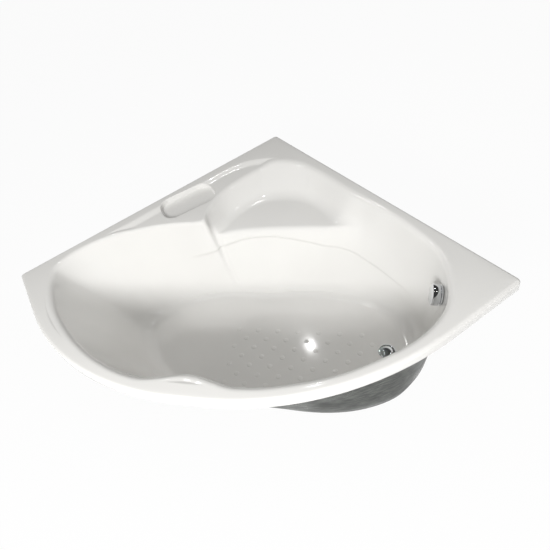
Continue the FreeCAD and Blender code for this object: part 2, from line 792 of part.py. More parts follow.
def build_stiffeners():
    """Battens under the rim beside the walls and a board under the seat."""
    room_edge = size("acrylic") + size("lip_round") - 3.5
    start = (size("wall_length") - size("batten_length")) / 2
    top = RIM_TOP - size("acrylic") - size("bond_gap") - size("batten_height")
    along_left, along_right = Vector(1, 1, 0) / ROOT_TWO, Vector(-1, 1, 0) / ROOT_TWO
    left = place(-HALF_DIAGONAL, 0, top) + along_left * start - along_right * (room_edge + size("batten_width"))
    right = place(HALF_DIAGONAL, 0, top) + along_right * start - along_left * room_edge
    box("rim_batten_left", "batten_length", "batten_width", "batten_height",
        Placement(left, Rotation(Vector(0, 0, 1), 45)))
    box("rim_batten_right", "batten_length", "batten_width", "batten_height",
        Placement(right, Rotation(Vector(0, 0, 1), 135)))
    seat_under = RIM_TOP - size("seat_depth") - size("acrylic") - 2 * size("bond_gap")
    corner = place(110 * STRETCH, 505 * STRETCH, seat_under - size("board_thick"))
    corner -= Vector(size("seat_board_length") / 2, size("seat_board_width") / 2, 0)
    box("seat_board", "seat_board_length", "seat_board_width", "board_thick", Placement(corner, Rotation()))


def build_leg_rail(label, x):
    """Pressed channel, open below, with holes for two studs and two screws."""
    wide, wall = half("rail_width"), size("rail_wall")
    deep = Driven("rail_height", -1.0)
    inner, web = half("rail_width", -wall), Driven("rail_wall", -1.0)
    outline = [(-wide, 0), (wide, 0), (wide, deep), (inner, deep), (inner, web), (-inner, web), (-inner, deep),
               (-wide, deep)]
    middle = RAIL_FRONT + size("rail_length") / 2
    rail = padded_body(label, outline, "XZ_Plane", "rail_length", upright(x, middle, RAIL_TOP), midplane=True)
    stud_y = size("rail_length") / 2 - FOOT_INSET
    drill(rail, label + "_stud_holes", [(0, -stud_y), (0, stud_y)], half("stud_dia", 0.5), 3 * wall, False)
    screw_y = BOARD_CENTRE[1] - middle
    centres = [(0, screw_y - SCREW_REACH), (0, screw_y + SCREW_REACH)]
    drill(rail, label + "_screw_holes", centres, SCREW_RADIUS + 0.3, 3 * wall, False)


def rail_screw(x, y):
    """Pan-head screw driven up through a rail into the board."""
    shank = Part.makeCylinder(SCREW_RADIUS, SCREW_DEPTH + size("rail_wall") + size("bond_gap"),
                              place(x, y, WEB_UNDER))
    head = Part.makeCylinder(2 * SCREW_RADIUS, 3, place(x, y, WEB_UNDER - 3))
    return shank.fuse(head)


def hex_nut(x, y, bottom):
    """Hexagon nut on a stud."""
    across = size("nut_across") / ROOT_THREE
    corners = [place(x + across * math.cos(k * math.pi / 3), y + across * math.sin(k * math.pi / 3), bottom)
               for k in range(7)]
    blank = Part.Face(Part.makePolygon(corners)).extrude(Vector(0, 0, size("nut_height")))
    bore = Part.makeCylinder(size("stud_dia") / 2 + size("fit_gap"), size("nut_height"), place(x, y, bottom))
    return blank.cut(bore)


def build_legs():
    """Both rails with their screws, studs, nuts and foot pads."""
    feet = [(x, y) for x in RAIL_PLACES.values() for y in FOOT_ROWS.values()]
    for end, x in RAIL_PLACES.items():
        build_leg_rail("leg_rail_" + end, x)
        for row_name, y in FOOT_ROWS.items():
            rim, neck = half("foot_dia"), half("stud_dia", size("fit_gap"))
            top = Driven("foot_height")
            section = [(0, 0), (rim, 0), (rim, 5), (rim - 7, 9), (half("stud_dia", 7), top), (neck, top),
                       (neck, STUD_FOOT - size("fit_gap")), (0, STUD_FOOT - size("fit_gap"))]
            turned_body(f"foot_pad_{end}_{row_name}", section, upright(x, y))
    screws = [rail_screw(x, BOARD_CENTRE[1] + side * SCREW_REACH)
              for x in RAIL_PLACES.values() for side in (-1, 1)]
    studs = [Part.makeCylinder(size("stud_dia") / 2, STUD_TOP - STUD_FOOT, place(x, y, STUD_FOOT))
             for x, y in feet]
    nuts = [hex_nut(x, y, bottom) for x, y in feet
            for bottom in (WEB_UNDER - size("nut_height"), WEB_UNDER - 2 * size("nut_height"))]
    free_shape("rail_screws", Part.Compound(screws))
    free_shape("leg_studs", Part.Compound(studs))
    free_shape("leg_nuts", Part.Compound(nuts))


# ---------------------------------------------------------------------------
# Waste: heights below are measured from the top of the bath's floor
# ---------------------------------------------------------------------------
NECK_END = -35          # lower end of the flange's neck
CUP_TOP = -36
CUP_FLOOR = -60
CUP_WALL = 3
SPIGOT_END = -76
STEM_END = -45
BRANCH_HEIGHT = -46
BRANCH_END = 62
LEVER_PIVOT = (-24, -47.5)
LEVER_THICK = 4

CABLE_ASIDE = 22        # from the middle of the pipe to the middle of the cable
CABLE_BOSS = 4.5        # radius of the bosses that hold the ends of the cable
CABLE_BOSS_END = 34
CABLE_GAP = 0.5

PIPE_FOOT = place(HUB[0] * STRETCH + floor_radius(0) + 15, HUB[1] * STRETCH, FLOOR_TOP + BRANCH_HEIGHT)
WASTE_TURN = math.atan2(PIPE_FOOT.y - place(*DRAIN, 0).y, PIPE_FOOT.x - DRAIN[0])
WASTE_PLACE = Placement(place(*DRAIN, FLOOR_TOP), Rotation(Vector(0, 0, 1), math.degrees(WASTE_TURN)))


def build_drain():
    """Flange, seals, stem guide, plug and plug seal."""
    flange, seal = half("flange_dia"), Driven("seal_thick")
    neck, bore = 24, 21
    turned_body("drain_flange",
                [(bore, NECK_END), (neck, NECK_END), (neck, 0.3), (26.5, 0.3), (26.5, seal), (flange, seal),
                 (flange, seal + 1.2),
                 (flange - 2, seal + 2.6), (29, 5.2), (27, 4.6), (25.2, 2.2), (bore, 0.6)], WASTE_PLACE)
    turned_body("drain_seal", washer(half("flange_dia", -1), half("drain_hole", 1), 0, seal), WASTE_PLACE)
    under = -size("acrylic")
    turned_body("drain_lower_seal", washer(half("cup_dia", 1), half("drain_hole", 1), under - 2.5, under),
                WASTE_PLACE)

    ring_radius, guide_bottom, guide_height = bore - size("fit_gap"), -26, 5
    guide = Part.makeCylinder(ring_radius, guide_height).cut(Part.makeCylinder(ring_radius - 2, guide_height))
    for turn in (0, 90):
        bar = Part.makeBox(2 * ring_radius - 2, 3, guide_height, Vector(1 - ring_radius, -1.5, 0))
        bar.rotate(Vector(0, 0, 0), Vector(0, 0, 1), turn)
        guide = guide.fuse(bar)
    guide = guide.fuse(Part.makeCylinder(size("stem_dia") / 2 + 2.5, guide_height))
    guide = guide.cut(Part.makeCylinder(size("stem_dia") / 2 + size("fit_gap"), guide_height))
    free_shape("stem_guide", guide, WASTE_PLACE.multiply(Placement(Vector(0, 0, guide_bottom), Rotation())))

    edge, stem = half("plug_dia"), half("stem_dia")
    dome = [(edge * math.sin(k * math.pi / 16), 5 + 3.5 * math.cos(k * math.pi / 16)) for k in range(7, 0, -1)]
    turned_body("drain_plug",
                [(0, STEM_END), (1.5, STEM_END), (stem, STEM_END + 2), (stem, 3.4), (edge - 1, 3.4), (edge, 4)]
                + dome + [(0, 8.5)], WASTE_PLACE)
    turned_body("plug_seal", [(stem + 0.3, 3.2), (edge - 0.8, 3.2), (edge - 0.6, 1.6), (edge - 3, 1.0),
                              (stem + 0.3, 1.0)], WASTE_PLACE)


def build_waste_body():
    """Cup under the drain with a collar, a side branch for the overflow, an outlet and two pivot lugs."""
    cup, gap = size("cup_dia") / 2, size("fit_gap")
    collar_top = -size("acrylic") - 2.5
    pipe = size("trap_pipe") / 2
    branch_bore = size("overflow_pipe_dia") / 2 - 5
    body = Part.makeCylinder(cup + 2, 4, Vector(0, 0, collar_top - 4))
    body = body.fuse(Part.makeCylinder(29, collar_top - CUP_TOP, Vector(0, 0, CUP_TOP)))
    body = body.fuse(Part.makeCylinder(cup, CUP_TOP - CUP_FLOOR + 2 * CUP_WALL,
                                      Vector(0, 0, CUP_FLOOR - CUP_WALL)))
    body = body.fuse(Part.makeCylinder(pipe, CUP_FLOOR - SPIGOT_END, Vector(0, 0, SPIGOT_END)))
    along = Vector(1, 0, 0)
    body = body.fuse(Part.makeCylinder(branch_bore + 2.2, BRANCH_END, Vector(0, 0, BRANCH_HEIGHT), along))
    body = body.fuse(Part.makeCylinder(CABLE_BOSS, CABLE_BOSS_END - cup / 2,
                                       Vector(cup / 2, CABLE_ASIDE, BRANCH_HEIGHT), along))
    hollow = [Part.makeCylinder(24 + gap, collar_top - CUP_TOP + 1, Vector(0, 0, CUP_TOP)),
              Part.makeCylinder(cup - CUP_WALL, CUP_TOP - CUP_FLOOR, Vector(0, 0, CUP_FLOOR)),
              Part.makeCylinder(pipe - size("trap_wall"), 60, Vector(0, 0, SPIGOT_END)),
              Part.makeCylinder(branch_bore, BRANCH_END, Vector(0, 0, BRANCH_HEIGHT), along)]
    body = body.cut(hollow)
    x, z = LEVER_PIVOT
    for side in (-1, 1):
        lug = Part.makeBox(9, 4, 11, Vector(x - 6, 7 * side - 2, z - 6.5))
        body = body.fuse(lug.cut(Part.makeCylinder(2 + gap, 20, Vector(x, 10, z), Vector(0, -1, 0))))
    free_shape("waste_body", body, WASTE_PLACE)


def build_lift_lever():
    """Lever that the cable swings to push the plug's stem up."""
    x, z = LEVER_PIVOT
    arm = Part.makeBox(25 + 3, 6, LEVER_THICK, Vector(x - 3, -3, z - LEVER_THICK / 2))
    pin = Part.makeCylinder(2, 17, Vector(x, -8.5, z), Vector(0, 1, 0))
    free_shape("lift_lever", arm.fuse(pin), WASTE_PLACE)


def build_trap():
    """Water trap below the waste, its nut, and the outlet that takes the building's pipe."""
    pipe, wall, bend, gap = size("trap_pipe") / 2, size("trap_wall"), size("trap_bend"), size("fit_gap")
    top = FLOOR_TOP + SPIGOT_END - gap
    low = pipe + 9
    outlet = low + 2 * bend + 16
    x, y = DRAIN
    corners = [(0, top), (0, low), (2 * bend, low), (2 * bend, outlet), (3 * bend + 48, outlet)]
    points = [place(x, y + run, z) for run, z in corners]
    free_shape("trap_body", tube(points, bend, pipe, pipe - wall))
    nut = washer(half("trap_pipe", 7), half("trap_pipe", gap), SPIGOT_END - 12, SPIGOT_END + 10)
    turned_body("trap_nut", nut, WASTE_PLACE)


# ---------------------------------------------------------------------------
# Overflow: heights are measured from the wall's face along the knob's axis
# ---------------------------------------------------------------------------
HUB_END = -14
BODY_BACK = -48
BODY_CENTRE = -27
OVERFLOW_PLACE = Placement(OVERFLOW_POINT, OVERFLOW_TURN)
OVERFLOW_SPIGOT = 58
OVERFLOW_CENTRE = OVERFLOW_PLACE.multVec(Vector(0, 0, BODY_CENTRE))
PIPE_KNEE_SHARE = 0.776     # share of the bowl's depth at which the pipe turns along the wall
PIPE_CLEARANCE = 28         # from the wall's face to the middle of the pipe


def pipe_knee():
    """Point behind the wall where the overflow pipe turns."""
    point, normal = wall_frame(0, PIPE_KNEE_SHARE * size("bowl_depth"))
    return point - normal * PIPE_CLEARANCE


PIPE_KNEE = pipe_knee()
PIPE_START = unit(PIPE_KNEE - OVERFLOW_CENTRE)      # way the pipe leaves the overflow
CABLE_SIDE = unit(PIPE_START.cross(OVERFLOW_AXIS))  # way from the pipe to the cable at the overflow


def build_overflow():
    """Base plate, knob, seals and the body behind the wall."""
    gap = size("fit_gap")
    plate, knob = half("plate_dia"), half("knob_dia")
    knob_front = KNOB_BACK + size("knob_depth")
    turned_body("overflow_plate",
                [(20, HUB_END), (24, HUB_END), (24, PLATE_BACK), (plate, PLATE_BACK), (plate, PLATE_FRONT - 2),
                 (plate - 2, PLATE_FRONT), (20, PLATE_FRONT)], OVERFLOW_PLACE)
    turned_body("overflow_knob",
                [(0, BODY_BACK + 3), (5, BODY_BACK + 3), (5, KNOB_BACK + 8), (knob - 6, KNOB_BACK + 8),
                 (knob - 6, KNOB_BACK), (knob - 1, KNOB_BACK), (knob, KNOB_BACK + 1), (knob, knob_front - 4),
                 (knob - 1.2, knob_front - 1.2), (knob - 4, knob_front), (0, knob_front)], OVERFLOW_PLACE)
    turned_body("overflow_seal", washer(34, half("overflow_hole", 1), PLATE_BACK - 2.2, PLATE_BACK),
                OVERFLOW_PLACE)
    rear = -size("acrylic") - gap
    turned_body("overflow_rear_seal", washer(36, half("overflow_hole", 1), rear - 3, rear), OVERFLOW_PLACE)

    down = OVERFLOW_TURN.inverted().multVec(PIPE_START)
    side = OVERFLOW_TURN.inverted().multVec(CABLE_SIDE) * CABLE_ASIDE
    spigot = size("overflow_pipe_dia") / 2 - 2.8
    centre = Vector(0, 0, BODY_CENTRE)
    body = Part.makeCylinder(38, 4, Vector(0, 0, rear - 3 - 4))
    body = body.fuse(Part.makeCylinder(29, rear - 7 - BODY_BACK, Vector(0, 0, BODY_BACK)))
    body = body.fuse(Part.makeCylinder(spigot, OVERFLOW_SPIGOT, centre, down))
    body = body.fuse(Part.makeCylinder(CABLE_BOSS, 20, centre + side + down * 10, down))
    body = body.cut([Part.makeCylinder(26, 60, Vector(0, 0, BODY_BACK + 10)),
                     Part.makeCylinder(5 + gap, 60, Vector(0, 0, BODY_BACK)),
                     Part.makeCylinder(spigot - 2.2, OVERFLOW_SPIGOT, centre, down)])
    free_shape("overflow_body", body, OVERFLOW_PLACE)


def build_overflow_pipe():
    """Pipe from the overflow down the wall to the waste's branch, its two nuts and the lift cable beside it."""
    gap = size("fit_gap")
    outer = size("overflow_pipe_dia") / 2
    bend = size("overflow_pipe_bend")
    top = OVERFLOW_CENTRE + PIPE_START * (OVERFLOW_SPIGOT - 14)
    branch_end = WASTE_PLACE.multVec(Vector(BRANCH_END - 14, 0, BRANCH_HEIGHT))
    free_shape("overflow_pipe", tube([top, PIPE_KNEE, PIPE_FOOT, branch_end], bend, outer, outer - 2.5))

    def nut(at, axis):
        ring_out = Part.makeCylinder(outer + 3.2, 18, at - axis * 3, axis)
        return ring_out.cut(Part.makeCylinder(outer + gap, 18, at - axis * 3, axis))
    nuts = [nut(top, PIPE_START), nut(branch_end, unit(PIPE_FOOT - branch_end))]
    free_shape("pipe_nuts", Part.Compound(nuts))

    waste_side = WASTE_PLACE.Rotation.multVec(Vector(0, 1, 0))
    start = OVERFLOW_CENTRE + PIPE_START * (30 + CABLE_GAP) + CABLE_SIDE * CABLE_ASIDE
    knee = PIPE_KNEE + unit(CABLE_SIDE + waste_side) * CABLE_ASIDE
    end = WASTE_PLACE.multVec(Vector(CABLE_BOSS_END + CABLE_GAP, CABLE_ASIDE, BRANCH_HEIGHT))
    route = [start, knee, PIPE_FOOT + waste_side * CABLE_ASIDE, end]
    free_shape("lift_cable", tube(route, bend, size("cable_dia") / 2, 0))


build_base_board()
build_stiffeners()
build_legs()
build_drain()
build_waste_body()
build_lift_lever()
build_trap()
build_overflow()
build_overflow_pipe()
DOC.recompute()


# ---------------------------------------------------------------------------
# Checks and export
# ---------------------------------------------------------------------------
for obj in DOC.Objects:
    if any(word in state for state in obj.State for word in ("Invalid", "Error")):
        raise RuntimeError(f"{obj.Label}: {obj.State}")

os.makedirs("parts", exist_ok=True)
for obj in PARTS:
    shape = obj.Shape
    if shape.isNull() or not shape.isValid() or not shape.Solids:
        raise RuntimeError(f"{obj.Label} has no valid solid")
    shape.exportStep(f"parts/{obj.Label}.step")
    print(f"{obj.Label}: {len(shape.Solids)} solids")
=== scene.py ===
"""Corner bathtub with a corner seat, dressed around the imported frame."""
import json
import logging
import math
from dataclasses import dataclass
from enum import Enum
from typing import Callable, Optional, Sequence

import bmesh
import bpy
import numpy as np
from mathutils import Matrix, Vector


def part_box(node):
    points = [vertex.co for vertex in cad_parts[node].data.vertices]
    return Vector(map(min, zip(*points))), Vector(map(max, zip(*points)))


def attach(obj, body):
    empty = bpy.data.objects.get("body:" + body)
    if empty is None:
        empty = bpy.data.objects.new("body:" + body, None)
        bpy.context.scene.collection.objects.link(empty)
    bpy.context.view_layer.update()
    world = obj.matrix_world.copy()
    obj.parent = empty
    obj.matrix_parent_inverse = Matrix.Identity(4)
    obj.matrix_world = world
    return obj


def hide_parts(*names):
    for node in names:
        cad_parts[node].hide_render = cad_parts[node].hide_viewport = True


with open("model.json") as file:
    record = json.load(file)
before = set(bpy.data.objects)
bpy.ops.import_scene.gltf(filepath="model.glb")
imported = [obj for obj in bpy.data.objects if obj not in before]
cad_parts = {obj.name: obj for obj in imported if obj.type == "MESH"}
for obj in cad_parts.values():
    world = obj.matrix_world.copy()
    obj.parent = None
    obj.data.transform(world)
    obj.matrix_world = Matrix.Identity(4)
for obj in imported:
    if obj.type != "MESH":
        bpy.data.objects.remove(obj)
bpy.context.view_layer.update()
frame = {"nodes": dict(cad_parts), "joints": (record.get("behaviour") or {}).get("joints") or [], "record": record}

LOG = logging.getLogger("corner_bathtub")
MM = 0.001
MERGE_DISTANCE = 1e-6
CAD_EDGE_ANGLE = 28.0
TUB = "tub"


# ---------------------------------------------------------------------------
# Small helpers
# ---------------------------------------------------------------------------
def colour(hex_code: str) -> tuple[float, float, float, float]:
    """Turn an sRGB hex value into a linear colour.

    Args:
        hex_code: six hex digits, with or without a leading hash.

    Returns:
        Linear red, green, blue and an alpha of 1.
    """
    digits = hex_code.lstrip("#")
    channels = (int(digits[k:k + 2], 16) / 255 for k in (0, 2, 4))
    linear = [c / 12.92 if c <= 0.04045 else ((c + 0.055) / 1.055) ** 2.4 for c in channels]
    return (*linear, 1.0)


def add_node(tree: bpy.types.NodeTree, kind: str, links: Optional[dict] = None,
             **settings) -> bpy.types.Node:
    """Add a node with its settings and incoming links.

    Args:
        tree: node tree that gets the node.
        kind: node type name.
        links: input name or index to a value or to the output socket that feeds it.
        settings: properties of the node.

    Returns:
        The new node.
    """
    node = tree.nodes.new(kind)
    for name, value in settings.items():
        setattr(node, name, value)
    for key, value in (links or {}).items():
        socket = node.inputs[key]
        if isinstance(value, bpy.types.NodeSocket):
            tree.links.new(value, socket)
        else:
            socket.default_value = value
    return node


def ease(start: float, end: float, value: float) -> float:
    """Smooth step from 0 at start to 1 at end."""
    u = min(max((value - start) / (end - start), 0.0), 1.0)
    return u * u * (3 - 2 * u)


def make_object(name: str, mesh: bpy.types.Mesh, *materials: bpy.types.Material) -> bpy.types.Object:
    """Link a mesh as an object at the origin.

    Args:
        name: object name.
        mesh: its mesh, in metres in the frame.
        materials: its finishes, in the order of their slots.

    Returns:
        The linked object.
    """
    piece = bpy.data.objects.new(name, mesh)
    slots = [face.material_index for face in mesh.polygons]
    mesh.materials.clear()
    for material in materials:
        mesh.materials.append(material)
    mesh.polygons.foreach_set("material_index", [min(slot, len(materials) - 1) for slot in slots])
    bpy.context.scene.collection.objects.link(piece)
    return piece


def smooth(mesh: bpy.types.Mesh, degrees: float) -> None:
    """Shade a mesh smooth, apart from edges sharper than an angle."""
    mesh.shade_smooth()
    mesh.set_sharp_from_angle(angle=math.radians(degrees))


def merged(mesh: bpy.types.Mesh) -> bmesh.types.BMesh:
    """Open a mesh for editing, with its doubles merged.

    Args:
        mesh: mesh to read.

    Returns:
        Its editable form, which the caller frees.
    """
    work = bmesh.new()
    work.from_mesh(mesh)
    bmesh.ops.remove_doubles(work, verts=work.verts, dist=MERGE_DISTANCE)
    return work


def grid_mesh(name: str, points: np.ndarray, hidden_from: Optional[int] = None) -> bpy.types.Mesh:
    """Closed mesh of a grid of points that goes round in its first direction, with its end rows as poles.

    Args:
        name: mesh name.
        points: array of columns by rows by 3, in millimetres.
        hidden_from: row from which the faces take the second material slot.

    Returns:
        The mesh, in metres, with its doubles merged.
    """
    columns, rows = points.shape[:2]
    vertices = points.reshape(-1, 3) * MM
    faces = []
    for i in range(columns):
        j = (i + 1) % columns
        for k in range(rows - 1):
            faces.append((i * rows + k, i * rows + k + 1, j * rows + k + 1, j * rows + k))
    mesh = bpy.data.meshes.new(name)
    mesh.from_pydata(vertices.tolist(), [], faces)
    if hidden_from is not None:
        slots = [int(k >= hidden_from) for _ in range(columns) for k in range(rows - 1)]
        mesh.polygons.foreach_set("material_index", slots)
    work = merged(mesh)
    bmesh.ops.recalc_face_normals(work, faces=work.faces)
    work.to_mesh(mesh)
    work.free()
    mesh.validate()
    return mesh


def merged_copy(node: str) -> bpy.types.Mesh:
    """Copy a CAD node's mesh, with its doubles merged and its curved faces shaded smooth.

    Args:
        node: name of the CAD node.

    Returns:
        The copy.
    """
    mesh = frame["nodes"][node].data.copy()
    work = merged(mesh)
    work.to_mesh(mesh)
    work.free()
    smooth(mesh, CAD_EDGE_ANGLE)
    return mesh


# ---------------------------------------------------------------------------
# Finishes
# ---------------------------------------------------------------------------
# Most of a noise lies between these two levels.
NOISE_RANGE = {"From Min": 0.3, "From Max": 0.7}


def surface(name: str, base: str, roughness: float, metallic: float = 0.0,
            **constants: float) -> bpy.types.Material:
    """Make a principled material.

    Args:
        name: material name.
        base: sRGB hex colour.
        roughness: roughness where nothing is linked.
        metallic: 0 or 1.
        constants: other shader sockets by name, with underscores for spaces.

    Returns:
        The material.
    """
    material = bpy.data.materials.new(name)
    material.use_nodes = True
    shader = material.node_tree.nodes["Principled BSDF"]
    shader.inputs["Base Color"].default_value = colour(base)
    shader.inputs["Roughness"].default_value = roughness
    shader.inputs["Metallic"].default_value = metallic
    for key, value in constants.items():
        shader.inputs[key.replace("_", " ")].default_value = value
    return material


def mottle(material: bpy.types.Material, size_mm: float, detail: float = 2.0,
           stretch: tuple = (1, 1, 1)) -> bpy.types.NodeSocket:
    """Add an irregular pattern at its real size, on object coordinates, which are in metres.

    Args:
        material: material that gets the pattern.
        size_mm: width of one light or dark patch, which is half a period.
        detail: how many finer layers lie on it.
        stretch: how much finer it is along each axis.

    Returns:
        The socket that gives its level.
    """
    tree = material.node_tree
    coordinates = add_node(tree, "ShaderNodeTexCoord")
    mapping = add_node(tree, "ShaderNodeMapping",
                       {"Vector": coordinates.outputs["Object"], "Scale": stretch})
    noise = add_node(tree, "ShaderNodeTexNoise",
                     {"Vector": mapping.outputs[0], "Scale": 1000.0 / size_mm / 2, "Detail": detail})
    return noise.outputs["Fac"]


def drive(material: bpy.types.Material, level: bpy.types.NodeSocket, colours: tuple = (),
          window: tuple = (0.35, 0.65), roughness: tuple = (), relief: tuple = ()) -> bpy.types.Material:
    """Let a pattern's level drive what it is given values for: colour, roughness and relief.

    Args:
        material: material that the pattern belongs to.
        level: socket that gives the pattern's level.
        colours: sRGB hex colours of its low and high parts.
        window: levels between which the one colour turns into the other.
        roughness: roughness of its low and high parts.
        relief: height in millimetres of its high parts over its low ones, and strength.

    Returns:
        The same material.
    """
    tree = material.node_tree
    inputs = tree.nodes["Principled BSDF"].inputs
    if colours:
        ramp = add_node(tree, "ShaderNodeValToRGB", {"Fac": level})
        for stop, position, code in zip(ramp.color_ramp.elements, window, colours):
            stop.position = position
            stop.color = colour(code)
        tree.links.new(ramp.outputs["Color"], inputs["Base Color"])
    if roughness:
        span = add_node(tree, "ShaderNodeMapRange",
                        {"Value": level, **NOISE_RANGE, "To Min": roughness[0], "To Max": roughness[1]})
        tree.links.new(span.outputs["Result"], inputs["Roughness"])
    if relief:
        bump = add_node(tree, "ShaderNodeBump",
                        {"Height": level, "Distance": relief[0] * MM, "Strength": relief[1]})
        tree.links.new(bump.outputs["Normal"], inputs["Normal"])
    return material


@dataclass(frozen=True)
class SanitaryAcrylic:
    """Cast acrylic sheet, drawn over a mould: hard gloss with a very shallow, wide waviness."""

    base: str = "#e9e8e5"
    shade: str = "#e5e4e1"
    cloud_mm: float = 260.0
    wave_mm: float = 90.0
    wave_relief: tuple = (0.05, 1.0)
    gloss_mm: float = 35.0
    gloss: tuple = (0.07, 0.11)

    def build(self) -> bpy.types.Material:
        """Make the material.

        Returns:
            The material.
        """
        material = surface("sanitary_acrylic", self.base, 0.08, IOR=1.49)
        drive(material, mottle(material, self.cloud_mm), (self.shade, self.base))
        drive(material, mottle(material, self.wave_mm, 1.0), relief=self.wave_relief)
        return drive(material, mottle(material, self.gloss_mm), roughness=self.gloss)


@dataclass(frozen=True)
class SprayedLaminate:
    """Chopped glass fibre in polyester resin, rolled on by hand: dark, mottled, with strands showing."""

    resin: str = "#181c18"
    fibre: str = "#656b62"
    strand_mm: float = 7.0
    strand_stretch: tuple = (0.35, 0.6, 2.2)
    strand_window: tuple = (0.42, 0.68)
    strand_relief: tuple = (0.6, 0.8)
    patch_mm: float = 70.0
    patch_cover: tuple = (0.1, 0.75)
    gloss: tuple = (0.22, 0.42)

    def build(self) -> bpy.types.Material:
        """Make the material, whose resin covers the strands more in some patches than in others.

        Returns:
            The material.
        """
        material = surface("sprayed_glass_fibre_laminate", self.resin, 0.3, Specular_IOR_Level=0.3)
        strands = mottle(material, self.strand_mm, 6.0, self.strand_stretch)
        patches = mottle(material, self.patch_mm, 3.0)
        drive(material, strands, (self.resin, self.fibre), self.strand_window, relief=self.strand_relief)
        drive(material, patches, roughness=self.gloss)
        tree = material.node_tree
        base = tree.nodes["Principled BSDF"].inputs["Base Color"]
        cover = add_node(tree, "ShaderNodeMapRange", {"Value": patches, **NOISE_RANGE,
                                                      "To Min": self.patch_cover[0],
                                                      "To Max": self.patch_cover[1]})
        mixed = add_node(tree, "ShaderNodeMix", {0: cover.outputs["Result"], 6: base.links[0].from_socket,
                                                 7: colour(self.resin)}, data_type="RGBA")
        tree.links.new(mixed.outputs[2], base)
        return material


@dataclass(frozen=True)
class ParticleBoard:
    """Pressed wood chips: pale brown flakes a few millimetres long in a darker binder."""

    chip: str = "#c6a878"
    binder: str = "#8d6c43"
    chip_mm: float = 3.5
    chip_stretch: tuple = (1.0, 1.7, 1.0)
    chip_relief: tuple = (0.3, 0.5)

    def build(self) -> bpy.types.Material:
        """Make the material."""
        material = surface("particle_board", self.chip, 0.8)
        return drive(material, mottle(material, self.chip_mm, 4.0, self.chip_stretch),
                     (self.binder, self.chip), relief=self.chip_relief)


@dataclass(frozen=True)
class GalvanisedSteel:
    """Hot-dip galvanised sheet: grey metal with a spangle of crystals about a centimetre across."""

    light: str = "#a9adb0"
    dark: str = "#82878b"
    spangle_mm: float = 9.0
    tone_window: tuple = (0.1, 0.9)
    gloss: tuple = (0.32, 0.5)

    def build(self) -> bpy.types.Material:
        """Make the material, whose crystals each have a tone and a gloss of their own.

        Returns:
            The material.
        """
        material = surface("galvanised_steel", self.light, 0.4, 1.0)
        tree = material.node_tree
        coordinates = add_node(tree, "ShaderNodeTexCoord")
        cells = add_node(tree, "ShaderNodeTexVoronoi",
                         {"Vector": coordinates.outputs["Object"], "Scale": 1000.0 / self.spangle_mm})
        tone, gloss, _ = add_node(tree, "ShaderNodeSeparateColor", {"Color": cells.outputs["Color"]}).outputs
        drive(material, tone, (self.dark, self.light), self.tone_window)
        return drive(material, gloss, roughness=self.gloss)


@dataclass(frozen=True)
class ZincPlate:
    """Bright zinc plating on screws, studs and nuts: pale grey metal with a faint haze."""

    base: str = "#b9babd"
    shade: str = "#a8a9ad"
    haze_mm: float = 4.0
    gloss: tuple = (0.22, 0.38)

    def build(self) -> bpy.types.Material:
        """Make the material."""
        material = surface("zinc_plate", self.base, 0.3, 1.0)
        return drive(material, mottle(material, self.haze_mm), (self.shade, self.base), roughness=self.gloss)


@dataclass(frozen=True)
class ChromePlate:
    """Chrome plating over brass: a mirror with only the faintest wipe marks."""

    base: str = "#e3e5e8"
    wipe_mm: float = 12.0
    wipe_stretch: tuple = (1.0, 0.3, 1.0)
    gloss: tuple = (0.03, 0.07)

    def build(self) -> bpy.types.Material:
        """Make the material."""
        material = surface("chrome_plate", self.base, 0.05, 1.0)
        return drive(material, mottle(material, self.wipe_mm, 3.0, self.wipe_stretch), roughness=self.gloss)


@dataclass(frozen=True)
class CastBrass:
    """Cast brass left bare: warm yellow metal with a fine sand-cast grain."""

    base: str = "#b8944f"
    shade: str = "#a08043"
    grain_mm: float = 0.8
    grain_relief: tuple = (0.05, 1.0)

    def build(self) -> bpy.types.Material:
        """Make the material."""
        material = surface("cast_brass", self.base, 0.35, 1.0)
        return drive(material, mottle(material, self.grain_mm), (self.shade, self.base),
                     relief=self.grain_relief)


@dataclass(frozen=True)
class BlackRubber:
    """Moulded nitrile rubber: near black, matt, with a bloom of slightly lighter patches."""

    base: str = "#18191a"
    bloom: str = "#26282a"
    bloom_mm: float = 8.0
    gloss: tuple = (0.55, 0.75)

    def build(self) -> bpy.types.Material:
        """Make the material."""
        material = surface("black_rubber", self.base, 0.65)
        return drive(material, mottle(material, self.bloom_mm), (self.base, self.bloom),
                     roughness=self.gloss)


@dataclass(frozen=True)
class MouldedPlastic:
    """Injection-moulded polypropylene: satin, with a fine spark-eroded grain."""

    name: str
    base: str
    shade: str
    grain_mm: float = 0.9
    grain_relief: tuple = (0.03, 1.0)
    cloud_mm: float = 30.0

    def build(self) -> bpy.types.Material:
        """Make the material.

        Returns:
            The material.
        """
        material = surface(self.name, self.base, 0.38)
        drive(material, mottle(material, self.grain_mm), relief=self.grain_relief)
        return drive(material, mottle(material, self.cloud_mm), (self.shade, self.base))


class Finish(Enum):
    """The finishes of the object, by the record's material slot."""

    ACRYLIC = "white_acrylic"
    LAMINATE = "laminate"
    BOARD = "particle_board"
    RAIL = "galvanised_steel"
    ZINC = "zinc_plate"
    CHROME = "chrome"
    BRASS = "brass"
    RUBBER = "black_rubber"
    WHITE_PLASTIC = "white_plastic"
    GREY_PLASTIC = "grey_plastic"


